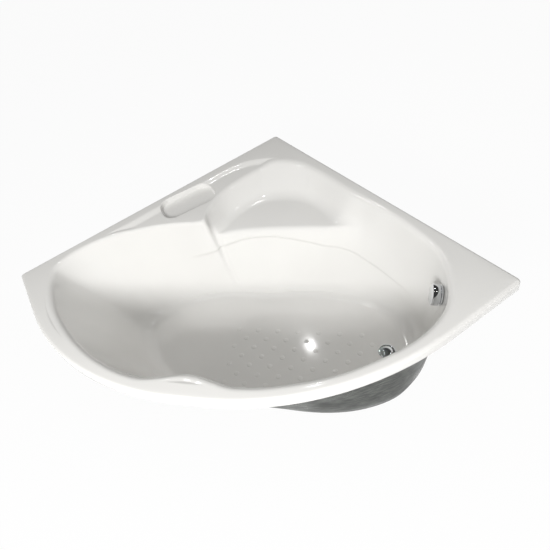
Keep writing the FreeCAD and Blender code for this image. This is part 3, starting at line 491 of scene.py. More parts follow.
def make_finishes() -> dict[Finish, bpy.types.Material]:
    """Build every finish once.

    Returns:
        The materials, by finish.
    """
    recipes = {
        Finish.ACRYLIC: SanitaryAcrylic(),
        Finish.LAMINATE: SprayedLaminate(),
        Finish.BOARD: ParticleBoard(),
        Finish.RAIL: GalvanisedSteel(),
        Finish.ZINC: ZincPlate(),
        Finish.CHROME: ChromePlate(),
        Finish.BRASS: CastBrass(),
        Finish.RUBBER: BlackRubber(),
        Finish.WHITE_PLASTIC: MouldedPlastic("white_polypropylene", "#eceae4", "#e3e1da"),
        Finish.GREY_PLASTIC: MouldedPlastic("grey_polypropylene", "#5b5e60", "#505355"),
    }
    return {finish: recipe.build() for finish, recipe in recipes.items()}


# ---------------------------------------------------------------------------
# Shape of the rim and the hollow, in millimetres. Plan coordinates: X along the
# long side, Y towards the corner of the room, with the origin midway between the
# two end corners of the rim. The seat's two ends are given in degrees round the hub.
# ---------------------------------------------------------------------------
HUB = (60.0, 60.0)
MOUTH = ((830, 5), (808, 118), (709, 266), (561, 420), (411, 562), (262, 708), (190, 765), (118, 795),
         (30, 800), (-60, 738), (-125, 672), (-185, 585), (-215, 490), (-222, 420), (-217, 372),
         (-250, 352), (-310, 350), (-405, 345), (-508, 328), (-612, 296), (-700, 248), (-785, 190),
         (-855, 112), (-880, 45), (-866, -15), (-828, -85), (-760, -175), (-670, -258), (-550, -348),
         (-400, -427), (-250, -472), (-190, -478), (-125, -468), (-25, -447), (75, -466), (140, -481),
         (200, -480), (350, -452), (500, -400), (620, -332), (698, -278), (770, -203), (815, -125))
SEAT_FRONT = ((815, 0), (700, 240), (600, 325), (450, 375), (240, 397), (80, 401), (-60, 392),
              (-170, 365), (-260, 340), (-560, 280), (-790, 110), (-740, -110), (-400, -392), (0, -462),
              (480, -380), (790, -120))
SEAT_BACK = ((830, 0), (700, 245), (600, 350), (500, 400), (403, 445), (340, 520), (242, 606),
             (109, 639), (-10, 618), (-90, 560), (-140, 480), (-168, 400), (-185, 365), (-270, 345),
             (-600, 280), (-800, 110), (-740, -110), (-400, -392), (0, -462), (480, -380), (790, -120))
FLOOR = ((745, -20), (720, 90), (640, 190), (540, 245), (388, 283), (134, 290), (-142, 280),
         (-330, 240), (-480, 160), (-560, 20), (-500, -90), (-365, -230), (-200, -305), (0, -330),
         (210, -335), (390, -338), (480, -325), (560, -300), (660, -240), (720, -150))
LEDGE = ((810, 0), (560, 390), (265, 690), (130, 800), (60, 832), (-20, 836), (-110, 822), (-190, 778),
         (-302, 670), (-500, 472), (-640, 332), (-720, 262), (-880, 100), (-860, -60), (-500, -400),
         (0, -490), (500, -420), (800, -170))
SEAT_LEFT = (133.0, 126.0)
SEAT_RIGHT = (32.0, 50.0)
# Chords in each blend and run of the profile.
CHORDS = {"rim": 8, "seat": 8, "edge": 6, "wall": 40, "floor": 10}


def polar_spline(points: Sequence[tuple[float, float]]) -> Callable[[float], float]:
    """Radius from HUB as a periodic cubic of the direction, through an outline's points.

    Args:
        points: plan points of a closed outline that the hub sees all round.

    Returns:
        Function from a direction in radians to a radius in millimetres.
    """
    table = sorted((math.atan2(y - HUB[1], x - HUB[0]) % math.tau, math.hypot(x - HUB[0], y - HUB[1]))
                   for x, y in points)
    angles = np.array([a for a, _ in table])
    radii = np.array([r for _, r in table])
    left = (angles - np.roll(angles, 1)) % math.tau
    right = (np.roll(angles, -1) - angles) % math.tau
    rise_left = (radii - np.roll(radii, 1)) / left
    rise_right = (np.roll(radii, -1) - radii) / right
    slopes = (rise_left * right + rise_right * left) / (left + right)

    def radius(direction: float) -> float:
        """Radius in one direction."""
        direction %= math.tau
        i = int(np.searchsorted(angles, direction, side="right")) - 1
        j = (i + 1) % len(angles)
        span = right[i]
        u = ((direction - angles[i]) % math.tau) / span
        return float((2 * u ** 3 - 3 * u ** 2 + 1) * radii[i] + (u ** 3 - 2 * u ** 2 + u) * span * slopes[i]
                     + (3 * u ** 2 - 2 * u ** 3) * radii[j] + (u ** 3 - u ** 2) * span * slopes[j])

    return radius


def blend(before: tuple, corner: tuple, after: tuple, reach_in: float, reach_out: float, steps: int) -> list:
    """Round a corner of a line with a parabola.

    Args:
        before: point of the line before the corner.
        corner: the corner.
        after: point of the line after it.
        reach_in: how far before the corner the rounding starts.
        reach_out: how far past the corner it ends.
        steps: number of chords.

    Returns:
        The points of the rounding.
    """
    def towards(target: tuple, reach: float) -> tuple:
        """Point at a distance from the corner."""
        run = math.hypot(target[0] - corner[0], target[1] - corner[1])
        return tuple(c + (g - c) * reach / run for c, g in zip(corner, target))
    start, end = towards(before, reach_in), towards(after, reach_out)
    return [tuple((1 - u) ** 2 * p + 2 * u * (1 - u) * q + u * u * r for p, q, r in zip(start, corner, end))
            for u in (k / steps for k in range(steps + 1))]


@dataclass
class TubShape:
    """Sizes of the moulding in millimetres, and the functions that give its surface.

    The ledge grows from nothing to its full depth as its outline goes from ledge_lead inside the rim's land
    to ledge_fade outside it. There the slope down to it gains slope_run, and the roundings at the slope's two
    ends gain crest_reach, two reaches each. The wall turns into the seat and out of it at seat_shoulder above
    and seat_toe below, as shares of the two blends, whose reach along the seat stays under flat_shares of it.
    """

    wall_length: float = 1500.0
    end_return: float = 308.0
    front_flat: float = 106.0
    corner_round: float = 18.0
    rim_height: float = 600.0
    lip_height: float = 42.0
    lip_round: float = 14.0
    acrylic: float = 5.0
    bowl_depth: float = 425.0
    seat_depth: float = 100.0
    seat_shoulder: float = 0.55
    seat_toe: float = 1.3
    ledge_depth: float = 12.0
    ledge_lead: float = 4.0
    ledge_fade: float = 46.0
    slope_least: float = 3.0
    slope_run: float = 30.0
    crest_reach: tuple = (6.0, 12.0, 12.0, 7.0)
    least_reach: float = 0.5
    rim_blend: float = 22.0
    seat_blend: float = 42.0
    seat_edge_blend: float = 24.0
    flat_shares: tuple = (0.55, 0.4)
    floor_blend: float = 80.0
    rim_land: float = 32.0

    def __post_init__(self) -> None:
        """Work out the sizes that follow from the others."""
        self.mouth, self.seat_front, self.seat_back, self.floor, self.ledge = map(
            polar_spline, (MOUTH, SEAT_FRONT, SEAT_BACK, FLOOR, LEDGE))
        self.half_diagonal = self.wall_length / math.sqrt(2)
        self.return_step = self.end_return / math.sqrt(2)
        self.arc_x = self.front_flat / 2
        self.arc_radius = (self.half_diagonal - self.return_step - self.arc_x) * math.sqrt(2)
        self.arc_y = self.arc_radius / math.sqrt(2) - self.return_step
        self.front_y = self.arc_y - self.arc_radius
        trim = self.corner_round * (math.sqrt(2) - 1)
        self.plan_middle = (self.half_diagonal - trim + self.front_y) / 2

    def seat_share(self, direction: float) -> float:
        """1 where the profile crosses the seat, 0 where it runs straight down the wall."""
        degrees = math.degrees(direction) % 360
        return ease(*SEAT_LEFT, degrees) * ease(*SEAT_RIGHT, degrees)

    def profile(self, direction: float) -> list[tuple[float, float]]:
        """Draw the hollow in one direction.

        Args:
            direction: radians round the hub.

        Returns:
            Points (radius, depth), rim first.
        """
        mouth, foot = self.mouth(direction), self.floor(direction)
        land = mouth + self.rim_land
        ledge_at = self.ledge(direction)
        share = ease(land - self.ledge_lead, land + self.ledge_fade, ledge_at)
        ledge_start = max(ledge_at, land)
        drop = self.ledge_depth * share
        seat = self.seat_share(direction)

        def shelf(depth: float, edge: Callable[[float], float]) -> tuple[float, float]:
            """Point on the wall at a depth, drawn to an edge of the seat where the seat is."""
            radius = mouth + (foot - mouth) * depth / self.bowl_depth
            return (radius + (edge(direction) - radius) * seat, depth + (self.seat_depth - depth) * seat)

        upper = shelf(self.seat_depth - self.seat_blend * self.seat_shoulder, self.seat_back)
        lower = shelf(self.seat_depth + self.seat_edge_blend * self.seat_toe, self.seat_front)
        flat = math.hypot(upper[0] - lower[0], upper[1] - lower[1])
        seat_in, seat_out = (flat * part for part in self.flat_shares)
        crest = (ledge_start, 0.0)
        # Any point further out on the flat rim gives the blend its direction.
        outside = (ledge_start + 20, 0.0)
        slope_foot = (ledge_start - self.slope_least - self.slope_run * share, drop)
        lip, corner, middle = (mouth, drop), (foot, self.bowl_depth), (foot * 0.5, self.bowl_depth)
        reach = [size * share + self.least_reach for size in self.crest_reach]
        points = blend(outside, crest, slope_foot, reach[0], reach[1], CHORDS["edge"])
        points += blend(crest, slope_foot, lip, reach[2], reach[3], CHORDS["edge"])
        points += blend(slope_foot, lip, upper, self.rim_blend, self.rim_blend, CHORDS["rim"])
        points += blend(lip, upper, lower, self.seat_blend, min(self.seat_blend, seat_in), CHORDS["seat"])
        points += blend(upper, lower, corner, min(self.seat_edge_blend, seat_out), self.seat_edge_blend,
                        CHORDS["edge"])
        toe = blend(lower, corner, middle, self.floor_blend, self.floor_blend, CHORDS["floor"])
        top = points[-1]
        points += [tuple(p + (q - p) * k / CHORDS["wall"] for p, q in zip(top, toe[0]))
                   for k in range(1, CHORDS["wall"])]
        return points + toe

    def outline(self) -> tuple[np.ndarray, np.ndarray]:
        """Draw the rim's outline as dense points, anticlockwise in plan.

        Returns:
            The points, and the outward normal at each.
        """
        d = self.half_diagonal
        points, normals = [], []

        def line(start: tuple, end: tuple, count: int, normal: tuple) -> None:
            """Add points along a straight run."""
            for u in np.linspace(0, 1, count, endpoint=False):
                points.append(np.array(start) * (1 - u) + np.array(end) * u)
                normals.append(np.array(normal))

        def arc(centre: tuple, radius: float, first: float, last: float, count: int) -> None:
            """Add points along an arc between two angles in degrees."""
            for a in np.radians(np.linspace(first, last, count, endpoint=False)):
                normal = np.array((math.cos(a), math.sin(a)))
                points.append(np.array(centre) + radius * normal)
                normals.append(normal)

        in_corner, on_side, on_return, on_bow, on_flat = 10, 300, 70, 220, 24
        s, r = 1 / math.sqrt(2), self.corner_round
        end = (d - self.return_step, -self.return_step)
        near = r * s
        side_far = d - r * math.sqrt(2)
        arc((side_far, 0), r, -45, 45, in_corner)
        line((d - near, near), (near, d - near), on_side, (s, s))
        arc((0, side_far), r, 45, 135, in_corner)
        line((-near, d - near), (-d + near, near), on_side, (-s, s))
        arc((-side_far, 0), r, 135, 225, in_corner)
        line((-d + near, -near), (-end[0], end[1]), on_return, (-s, -s))
        arc((-self.arc_x, self.arc_y), self.arc_radius, 225, 270, on_bow)
        line((-self.arc_x, self.front_y), (self.arc_x, self.front_y), on_flat, (0, -1))
        arc((self.arc_x, self.arc_y), self.arc_radius, 270, 315, on_bow)
        line(end, (d - near, -near), on_return, (s, -s))
        return np.array(points), np.array(normals)


SHAPE = TubShape()
FLOOR_TOP = SHAPE.rim_height - SHAPE.bowl_depth


def placed(point: Sequence[float]) -> Vector:
    """Plan coordinates and height in millimetres as a point of the frame in metres."""
    x, y, z = point
    return Vector((x, y - SHAPE.plan_middle, z)) * MM


def outward(points: np.ndarray) -> np.ndarray:
    """Find which way a closed grid faces, away from the hollow's inside and straight down at its pole.

    Args:
        points: array of columns by rows by 3.

    Returns:
        Unit normals in an array of the same shape.
    """
    along = np.roll(points, -1, axis=0) - np.roll(points, 1, axis=0)
    down = np.gradient(points, axis=1)
    normal = np.cross(down, along)
    length = np.linalg.norm(normal, axis=2, keepdims=True)
    return np.where(length > 1e-6, normal / np.maximum(length, 1e-6), np.array((0.0, 0.0, -1.0)))


class Change(Enum):
    """What a tool does to the moulding."""

    ADD = "UNION"
    CUT = "DIFFERENCE"


@dataclass
class BathShell:
    """Acrylic moulding: rim, lip, hollow, seat, ledge and soap tray.

    Lengths are in millimetres and angles in degrees. The crease is the long arc across the back wall, through
    crease_points, each a plan point and its depth. The pairs of angles round the hub say where the crease and
    the step at the wall's foot begin, and where they are whole.
    """

    finishes: dict[Finish, bpy.types.Material]
    columns: int = 560
    corner_columns: int = 40
    corner_spread: float = 1.6
    hidden_stride: int = 3
    edge_angle: float = 40.0
    floor_rows: int = 8
    lip_points: int = 9
    fillet_points: int = 5
    rim_points: int = 16
    crease_depth: float = 8.0
    crease_points: tuple = ((-285, 322, 190), (93, 395, 140), (588, 220, 270))
    crease_right: tuple = (8, 20)
    crease_left: tuple = (152, 140)
    crease_edge: float = 6.0
    crease_fade: tuple = (110, 8)
    step_height: float = 6.0
    step_row: int = 5
    step_rows: int = 6
    step_drop: float = 0.8
    step_right: tuple = (15, 40)
    step_left: tuple = (172, 158)
    tray_centre: tuple = (-358.0, 522.0)
    tray_half: tuple = (140.0, 80.0)
    tray_corner: float = 62.0
    tray_corner_points: int = 20
    tray_depth: float = 16.0
    tray_angle: float = 39.0
    tray_cove: float = 9.0
    tray_lead: float = 4.0
    pan_chamfer: tuple = (12.0, 6.0)
    drain: tuple = (609.758, -30.0)
    drain_radius: float = 26.0
    overflow_radius: float = 27.0
    opening_sides: int = 64
    opening_reach: float = 70.0

    def directions(self) -> list[float]:
        """List the directions round the hub, closer together at the rim's three square corners.

        Returns:
            Directions in radians, in order.
        """
        d, spread = SHAPE.half_diagonal, self.corner_spread
        corners = ((d, 0), (0, d), (-d, 0))
        even = self.columns - len(corners) * self.corner_columns
        picked = list(np.linspace(0, math.tau, even, endpoint=False))
        for x, y in corners:
            centre = math.atan2(y - HUB[1], x - HUB[0]) % math.tau
            picked += [(centre + offset) % math.tau
                       for offset in np.radians(np.linspace(-spread, spread, self.corner_columns))]
        return sorted(set(round(a, 6) for a in picked))

    def hollow_grid(self, directions: list[float]) -> np.ndarray:
        """Lay out the hollow from its crest to the middle of the floor.

        Args:
            directions: radians round the hub.

        Returns:
            Points, by direction and row.
        """
        grid = []
        for direction in directions:
            line = SHAPE.profile(direction)
            inner = line[-1][0]
            line += [(inner * (1 - k / self.floor_rows), SHAPE.bowl_depth)
                     for k in range(1, self.floor_rows + 1)]
            grid.append([(HUB[0] + r * math.cos(direction), HUB[1] + r * math.sin(direction),
                          SHAPE.rim_height - z) for r, z in line])
        return np.array(grid)

    def rim_rows(self, directions: list[float], crest: np.ndarray) -> np.ndarray:
        """Lay out the rows from the crest out over the lip, and back underneath.

        Args:
            directions: radians round the hub.
            crest: the hollow's first point in each direction.

        Returns:
            Points, by direction and row.
        """
        outline, normals = SHAPE.outline()
        angles = np.arctan2(outline[:, 1] - HUB[1], outline[:, 0] - HUB[0]) % math.tau
        order = np.argsort(angles)
        turn = np.concatenate((angles[order] - math.tau, angles[order], angles[order] + math.tau))

        def pick(values: np.ndarray, direction: float) -> np.ndarray:
            """Value on the outline in one direction."""
            return np.array([np.interp(direction, turn, np.tile(values[order, k], 3)) for k in (0, 1)])

        top, thick, fillet = SHAPE.rim_height, SHAPE.acrylic, SHAPE.lip_round
        low = top - SHAPE.lip_height
        small = fillet - thick
        cut_edge = ((0, 1), (0.3, 0.3), (1, 0), (thick - 0.8, 0), (thick, 0.8))
        over = []
        for direction, start in zip(directions, crest):
            edge, normal = pick(outline, direction), pick(normals, direction)
            normal /= np.linalg.norm(normal)

            def at(inset: float, z: float) -> tuple[float, float, float]:
                """Point at a distance inside the outline."""
                return (*(edge - normal * inset), z)

            flat_end = np.array(at(fillet, top))
            out = [tuple(start + (flat_end - start) * u) for u in (0.33, 0.66)]
            out += [at(fillet * (1 - math.sin(a)), top - fillet * (1 - math.cos(a)))
                    for a in np.linspace(0, math.pi / 2, self.lip_points)]
            out += [at(inset, low + rise) for inset, rise in cut_edge]
            out += [at(thick + small * (1 - math.sin(a)), top - thick - small * (1 - math.cos(a)))
                    for a in np.linspace(math.pi / 2, 0, self.fillet_points)]
            over.append(out)
        return np.array(over)

    def crease(self, grid: np.ndarray, directions: list[float]) -> np.ndarray:
        """Let the back wall stand proud by a few millimetres above the long arc drawn across it.

        Args:
            grid: the hollow's points.
            directions: radians round the hub.

        Returns:
            The grid, changed.
        """
        at = [math.degrees(math.atan2(y - HUB[1], x - HUB[0])) for x, y, _ in self.crease_points]
        curve = np.polyfit(at, [z for _, _, z in self.crease_points], 2)
        far, near = self.crease_fade
        for i, direction in enumerate(directions):
            degrees = math.degrees(direction)
            window = ease(*self.crease_right, degrees) * ease(*self.crease_left, degrees)
            if window <= 0:
                continue
            line = float(np.polyval(curve, degrees))
            for k in range(grid.shape[1]):
                depth = SHAPE.rim_height - grid[i, k, 2]
                above = ease(line + self.crease_edge, line - self.crease_edge, depth)
                above *= ease(line - far, line - near, depth)
                step = self.crease_depth * window * above
                grid[i, k, 0] -= step * math.cos(direction)
                grid[i, k, 1] -= step * math.sin(direction)
        return grid

    def floor_line(self, grid: np.ndarray, directions: list[float]) -> np.ndarray:
        """Raise the foot of the back wall, so that it ends in a small step down to the floor.

        Args:
            grid: the hollow's points.
            directions: radians round the hub.

        Returns:
            The grid, changed.
        """
        row = grid.shape[1] - self.floor_rows - (CHORDS["floor"] + 1) + self.step_row
        first = row - self.step_rows
        for i, direction in enumerate(directions):
            degrees = math.degrees(direction)
            share = ease(*self.step_right, degrees) * ease(*self.step_left, degrees)
            grid[i, row + 1] += (grid[i, row] - grid[i, row + 1]) * self.step_drop * share
            for k in range(first, row + 1):
                grid[i, k, 2] += self.step_height * share * ease(first, row, k)
        return grid

    def surface_height(self, x: float, y: float) -> float:
        """Find the height of the moulding's top over a point near the rim.

        Args:
            x: plan coordinate.
            y: plan coordinate.

        Returns:
            The height over the floor of the room.
        """
        direction = math.atan2(y - HUB[1], x - HUB[0])
        radii, depths = zip(*reversed(SHAPE.profile(direction)[:self.rim_points]))
        return SHAPE.rim_height - float(np.interp(math.hypot(x - HUB[0], y - HUB[1]), radii, depths))

    def tray_tool(self, name: str, levels: Sequence[tuple[float, float, bool]],
                  hidden: bool) -> bpy.types.Object:
        """Upright solid with the tray's outline.

        Args:
            name: object name.
            levels: from the bottom up, how far each ring stands outside the tray's outline, its height,
                and whether that height counts from the moulding's top instead of the floor of the room.
            hidden: whether its faces belong to the hidden side.

        Returns:
            The tool.
        """
        half_x, half_y = self.tray_half
        turn = math.radians(self.tray_angle)
        rows = []
        for spread, height, follows in levels:
            radius = self.tray_corner + spread
            x, y = half_x - self.tray_corner, half_y - self.tray_corner
            ring = []
            for quadrant, (cx, cy) in enumerate(((x, y), (-x, y), (-x, -y), (x, -y))):
                for a in np.radians(np.linspace(90 * quadrant, 90 * quadrant + 90, self.tray_corner_points)):
                    px, py = cx + radius * math.cos(a), cy + radius * math.sin(a)
                    plan_x = self.tray_centre[0] + px * math.cos(turn) - py * math.sin(turn)
                    plan_y = self.tray_centre[1] + px * math.sin(turn) + py * math.cos(turn)
                    base = self.surface_height(plan_x, plan_y) if follows else 0.0
                    ring.append((plan_x, plan_y, base + height))
            rows.append(ring)

        def pole(ring: list) -> list:
            """Ring that closes another at its middle."""
            return [(*self.tray_centre, float(np.mean([z for _, _, z in ring])))] * len(ring)

        grid = np.array([pole(rows[0])] + rows + [pole(rows[-1])]).transpose(1, 0, 2)
        return self.tool(name, grid, 0 if hidden else None)

    def tool(self, name: str, grid: np.ndarray, hidden_from: Optional[int]) -> bpy.types.Object:
        """Object from a closed grid in plan coordinates, with the moulding's two finishes."""
        grid = grid - np.array((0, SHAPE.plan_middle, 0))
        return self.two_faced(name, grid_mesh(name, grid, hidden_from))

    def two_faced(self, name: str, mesh: bpy.types.Mesh) -> bpy.types.Object:
        """Object with acrylic on its visible side and laminate on its hidden one."""
        return make_object(name, mesh, self.finishes[Finish.ACRYLIC], self.finishes[Finish.LAMINATE])

    def combine(self, body: bpy.types.Object, tool: bpy.types.Object, change: Change) -> None:
        """Apply a boolean to a body and remove its tool.

        Args:
            body: object that changes.
            tool: object that is added to it or taken from it.
            change: which of the two.
        """
        modifier = body.modifiers.new(change.value.lower(), "BOOLEAN")
        modifier.operation = change.value
        modifier.solver = "MANIFOLD"
        modifier.object = tool
        evaluated = body.evaluated_get(bpy.context.evaluated_depsgraph_get())
        mesh = bpy.data.meshes.new_from_object(evaluated)
        body.modifiers.remove(modifier)
        body.data = mesh
        bpy.data.objects.remove(tool)

    def moulding(self) -> bpy.types.Object:
        """Make the closed moulding, without its tray and openings.

        Returns:
            The moulding.
        """
        directions = self.directions()
        inner = self.floor_line(self.crease(self.hollow_grid(directions), directions), directions)
        over = self.rim_rows(directions, inner[:, 0])
        outer = inner + outward(inner) * SHAPE.acrylic
        # The underside of the first two rows, at the crest, is straight below them, as on the flat rim.
        outer[:, :2] = inner[:, :2] - np.array((0, 0, SHAPE.acrylic))
        last = outer.shape[1] - 1
        hidden_rows = sorted(set(range(0, last, self.hidden_stride)) | {last})
        grid = np.concatenate((inner[:, ::-1], over, outer[:, hidden_rows]), axis=1)
        return self.tool("bath_shell_moulding", grid, inner.shape[1] + over.shape[1] - self.fillet_points)

    def sink_tray(self, shell: bpy.types.Object) -> None:
        """Hang the soap tray's pan under the ledge and cut its pocket, coved below and rounded above.

        Args:
            shell: the moulding.
        """
        bottom = SHAPE.rim_height - SHAPE.ledge_depth - self.tray_depth
        wall, cove, lead = SHAPE.acrylic, self.tray_cove, self.tray_lead
        side, rise = self.pan_chamfer
        pan = [(wall - side, bottom - wall, False), (wall, bottom - wall + rise, False),
               (wall, -wall / 2, True)]
        self.combine(shell, self.tray_tool("tray_pan", pan, True), Change.ADD)
        pocket = [(-cove * (1 - math.sin(a)), bottom + cove * (1 - math.cos(a)), False)
                  for a in np.linspace(0, math.pi / 2, 7)]
        # The rounding stops short of both its ends, where it would run along the tray's side and top.
        pocket += [(lead * (1 - math.cos(a)), lead * (math.sin(a) - 1), True)
                   for a in np.linspace(0.2, 1.45, 6)]
        # Above the moulding the tool goes straight up, just outside the rounding.
        pocket += [(lead + 0.2, height, True) for height in (3.0, 40.0)]
        self.combine(shell, self.tray_tool("tray_pocket", pocket, False), Change.CUT)

    def opening(self, name: str, point: Vector, axis: Vector, radius: float) -> bpy.types.Object:
        """Make the cylinder that cuts a round opening.

        Args:
            name: object name.
            point: middle of the opening, in the frame.
            axis: its direction.
            radius: its radius in millimetres.

        Returns:
            The cylinder.
        """
        mesh = bpy.data.meshes.new(name)
        work = bmesh.new()
        bmesh.ops.create_cone(work, cap_ends=True, segments=self.opening_sides, radius1=radius * MM,
                              radius2=radius * MM, depth=self.opening_reach * MM)
        work.to_mesh(mesh)
        work.free()
        mesh.transform(Matrix.Translation(point) @ axis.to_track_quat("Z", "Y").to_matrix().to_4x4())
        return self.two_faced(name, mesh)

    def build(self) -> bpy.types.Object:
        """Make the moulding and let it replace the CAD shell.

        Returns:
            The finished shell.
        """
        shell = self.moulding()
        self.sink_tray(shell)
        waste = placed((*self.drain, FLOOR_TOP))
        for name, point, axis, radius in (("drain_opening", waste, Vector((0, 0, 1)), self.drain_radius),
                                          ("overflow_opening", *overflow_axis(), self.overflow_radius)):
            self.combine(shell, self.opening(name, point, axis, radius), Change.CUT)
        smooth(shell.data, self.edge_angle)
        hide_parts("bath_shell")
        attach(shell, TUB)
        return shell


def overflow_axis() -> tuple[Vector, Vector]:
    """Point of the wall behind the overflow knob and the way the knob faces, from the knob's joint."""
    joint = next(j for j in frame["joints"] if j["name"] == "knob_turn")
    return Vector(joint["pos_m"]), Vector(joint["axis"]).normalized()


# ---------------------------------------------------------------------------
# Repeated details, made by Geometry Nodes
# ---------------------------------------------------------------------------
class NodeRecipe:
    """Geometry Nodes tree with named inputs, applied to an object as plain mesh."""

    def __init__(self, name: str, inputs: dict[str, float]) -> None:
        """Start the tree with its inputs.

        Args:
            name: name of the tree and of its piece.
            inputs: sizes by name.
        """
        self.name = name
        self.tree = bpy.data.node_groups.new(name, "GeometryNodeTree")
        self.values = inputs
        face = self.tree.interface
        face.new_socket("Geometry", in_out="OUTPUT", socket_type="NodeSocketGeometry")
        face.new_socket("Material", in_out="INPUT", socket_type="NodeSocketMaterial")
        for label, value in inputs.items():
            kind = "NodeSocketInt" if isinstance(value, int) else "NodeSocketFloat"
            face.new_socket(label, in_out="INPUT", socket_type=kind)
        self.inputs = self.add("NodeGroupInput").outputs

    def add(self, kind: str, links: Optional[dict] = None, **settings) -> bpy.types.Node:
        """Add a node of the tree."""
        return add_node(self.tree, kind, links, **settings)

    def finish(self, geometry: bpy.types.NodeSocket) -> None:
        """Realize instances, set the material and connect the output.

        Args:
            geometry: socket that gives the finished shape.
        """
        realized = self.add("GeometryNodeRealizeInstances", {0: geometry})
        dressed = self.add("GeometryNodeSetMaterial", {"Geometry": realized.outputs[0],
                                                       "Material": self.inputs["Material"]})
        self.add("NodeGroupOutput", {0: dressed.outputs[0]})

    def mesh(self, material: bpy.types.Material) -> bpy.types.Mesh:
        """Evaluate the tree on an empty carrier.

        Args:
            material: finish of the piece.

        Returns:
            Its plain mesh.
        """
        carrier = bpy.data.objects.new(self.name + "_carrier", bpy.data.meshes.new(self.name + "_carrier"))
        bpy.context.scene.collection.objects.link(carrier)
        modifier = carrier.modifiers.new(self.name, "NODES")
        modifier.node_group = self.tree
        for item in self.tree.interface.items_tree:
            if item.in_out == "INPUT":
                modifier[item.identifier] = material if item.name == "Material" else self.values[item.name]
        carrier.update_tag()
        bpy.context.view_layer.update()
        evaluated = carrier.evaluated_get(bpy.context.evaluated_depsgraph_get())
        mesh = bpy.data.meshes.new_from_object(evaluated)
        carrier.modifiers.remove(modifier)
        bpy.data.objects.remove(carrier)
        return mesh

    def piece(self, place: Matrix, material: bpy.types.Material, slot: str) -> bpy.types.Object:
        """Make the piece and fix it to the tub.

        Args:
            place: where it goes in the frame, in metres.
            material: its finish.
            slot: the record's slot for that finish; not used.

        Returns:
            The piece.
        """
        mesh = self.mesh(material)
        mesh.transform(place)
        piece = make_object(self.name, mesh, material)
        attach(piece, TUB)
        return piece


@dataclass
class FloorStuds:
    """Low round studs that keep feet from slipping, in staggered rows on the floor."""

    rows: int = 7
    columns: int = 7
    row_pitch: float = 47.0
    column_pitch: float = 95.0
    first: tuple = (-70.0, -235.0)
    radius: float = 11.0
    height: float = 1.5
    sides: int = 24
    rings: int = 12

    def build(self, material: bpy.types.Material) -> bpy.types.Object:
        """Make the studs and fix them to the tub.

        Args:
            material: finish of the moulding.

        Returns:
            The studs.
        """
        recipe = NodeRecipe("floor_studs", {
            "Rows": self.rows, "Columns": self.columns, "Row pitch": self.row_pitch * MM,
            "Column pitch": self.column_pitch * MM, "Radius": self.radius * MM, "Height": self.height * MM})
        value = {label: recipe.inputs[label] for label in recipe.values}
        value["Stud"] = recipe.add("GeometryNodeInputIndex").outputs[0]
        for result, operation, *terms in (("Count", "MULTIPLY", "Rows", "Columns"),
                                          ("Column", "MODULO", "Stud", "Columns"),
                                          ("Rows passed", "DIVIDE", "Stud", "Columns"),
                                          ("Row", "FLOOR", "Rows passed"),
                                          ("Odd row", "MODULO", "Row", 2.0),
                                          ("Stagger", "MULTIPLY", "Odd row", 0.5),
                                          ("Place in row", "ADD", "Column", "Stagger"),
                                          ("X", "MULTIPLY", "Place in row", "Column pitch"),
                                          ("Y", "MULTIPLY", "Row", "Row pitch")):
            links = {k: value.get(term, term) for k, term in enumerate(terms)}
            value[result] = recipe.add("ShaderNodeMath", links, operation=operation).outputs[0]
        points = recipe.add("GeometryNodeMeshLine", {"Count": value["Count"]})
        spot = recipe.add("ShaderNodeCombineXYZ", {"X": value["X"], "Y": value["Y"]})
        laid = recipe.add("GeometryNodeSetPosition",
                          {"Geometry": points.outputs[0], "Position": spot.outputs[0]})
        dome = recipe.add("GeometryNodeMeshUVSphere",
                          {"Segments": self.sides, "Rings": self.rings, "Radius": 1.0})
        flat = recipe.add("ShaderNodeCombineXYZ", {"X": value["Radius"], "Y": value["Radius"],
                                                   "Z": value["Height"]})
        studs = recipe.add("GeometryNodeInstanceOnPoints", {
            "Points": laid.outputs[0], "Instance": dome.outputs[0], "Scale": flat.outputs[0]})
        recipe.finish(studs.outputs[0])
        place = Matrix.Translation(placed((*self.first, FLOOR_TOP)))
        piece = recipe.piece(place, material, Finish.ACRYLIC.value)
        piece.data.shade_smooth()
        return piece


@dataclass
class ScrewThread:
    """Rolled thread along a stud: a ridge that winds round it, sunk into the stud by sunk times its size."""

    name: str
    foot: Vector
    length: float
    radius: float
    pitch: float = 1.5
    ridge: float = 0.55
    sunk: float = 0.6
    turn_points: int = 16
    ridge_sides: int = 4

    def build(self, material: bpy.types.Material, slot: str) -> bpy.types.Object:
        """Make the ridge and fix it to the tub.

        Args:
            material: finish of the stud.
            slot: the record's slot for that finish.

        Returns:
            The ridge.
        """
        recipe = NodeRecipe(self.name, {
            "Turns": self.length / self.pitch, "Length": self.length * MM,
            "Radius": (self.radius - self.ridge * self.sunk) * MM, "Ridge": self.ridge * MM})
        given = recipe.inputs
        winding = recipe.add("GeometryNodeCurveSpiral", {
            "Resolution": self.turn_points, "Rotations": given["Turns"], "Start Radius": given["Radius"],
            "End Radius": given["Radius"], "Height": given["Length"]})
        ridge = recipe.add("GeometryNodeCurvePrimitiveCircle",
                           {"Resolution": self.ridge_sides, "Radius": given["Ridge"]})
        solid = recipe.add("GeometryNodeCurveToMesh", {"Curve": winding.outputs[0],
                                                       "Profile Curve": ridge.outputs[0], "Fill Caps": True})
        recipe.finish(solid.outputs[0])
        return recipe.piece(Matrix.Translation(self.foot), material, slot)


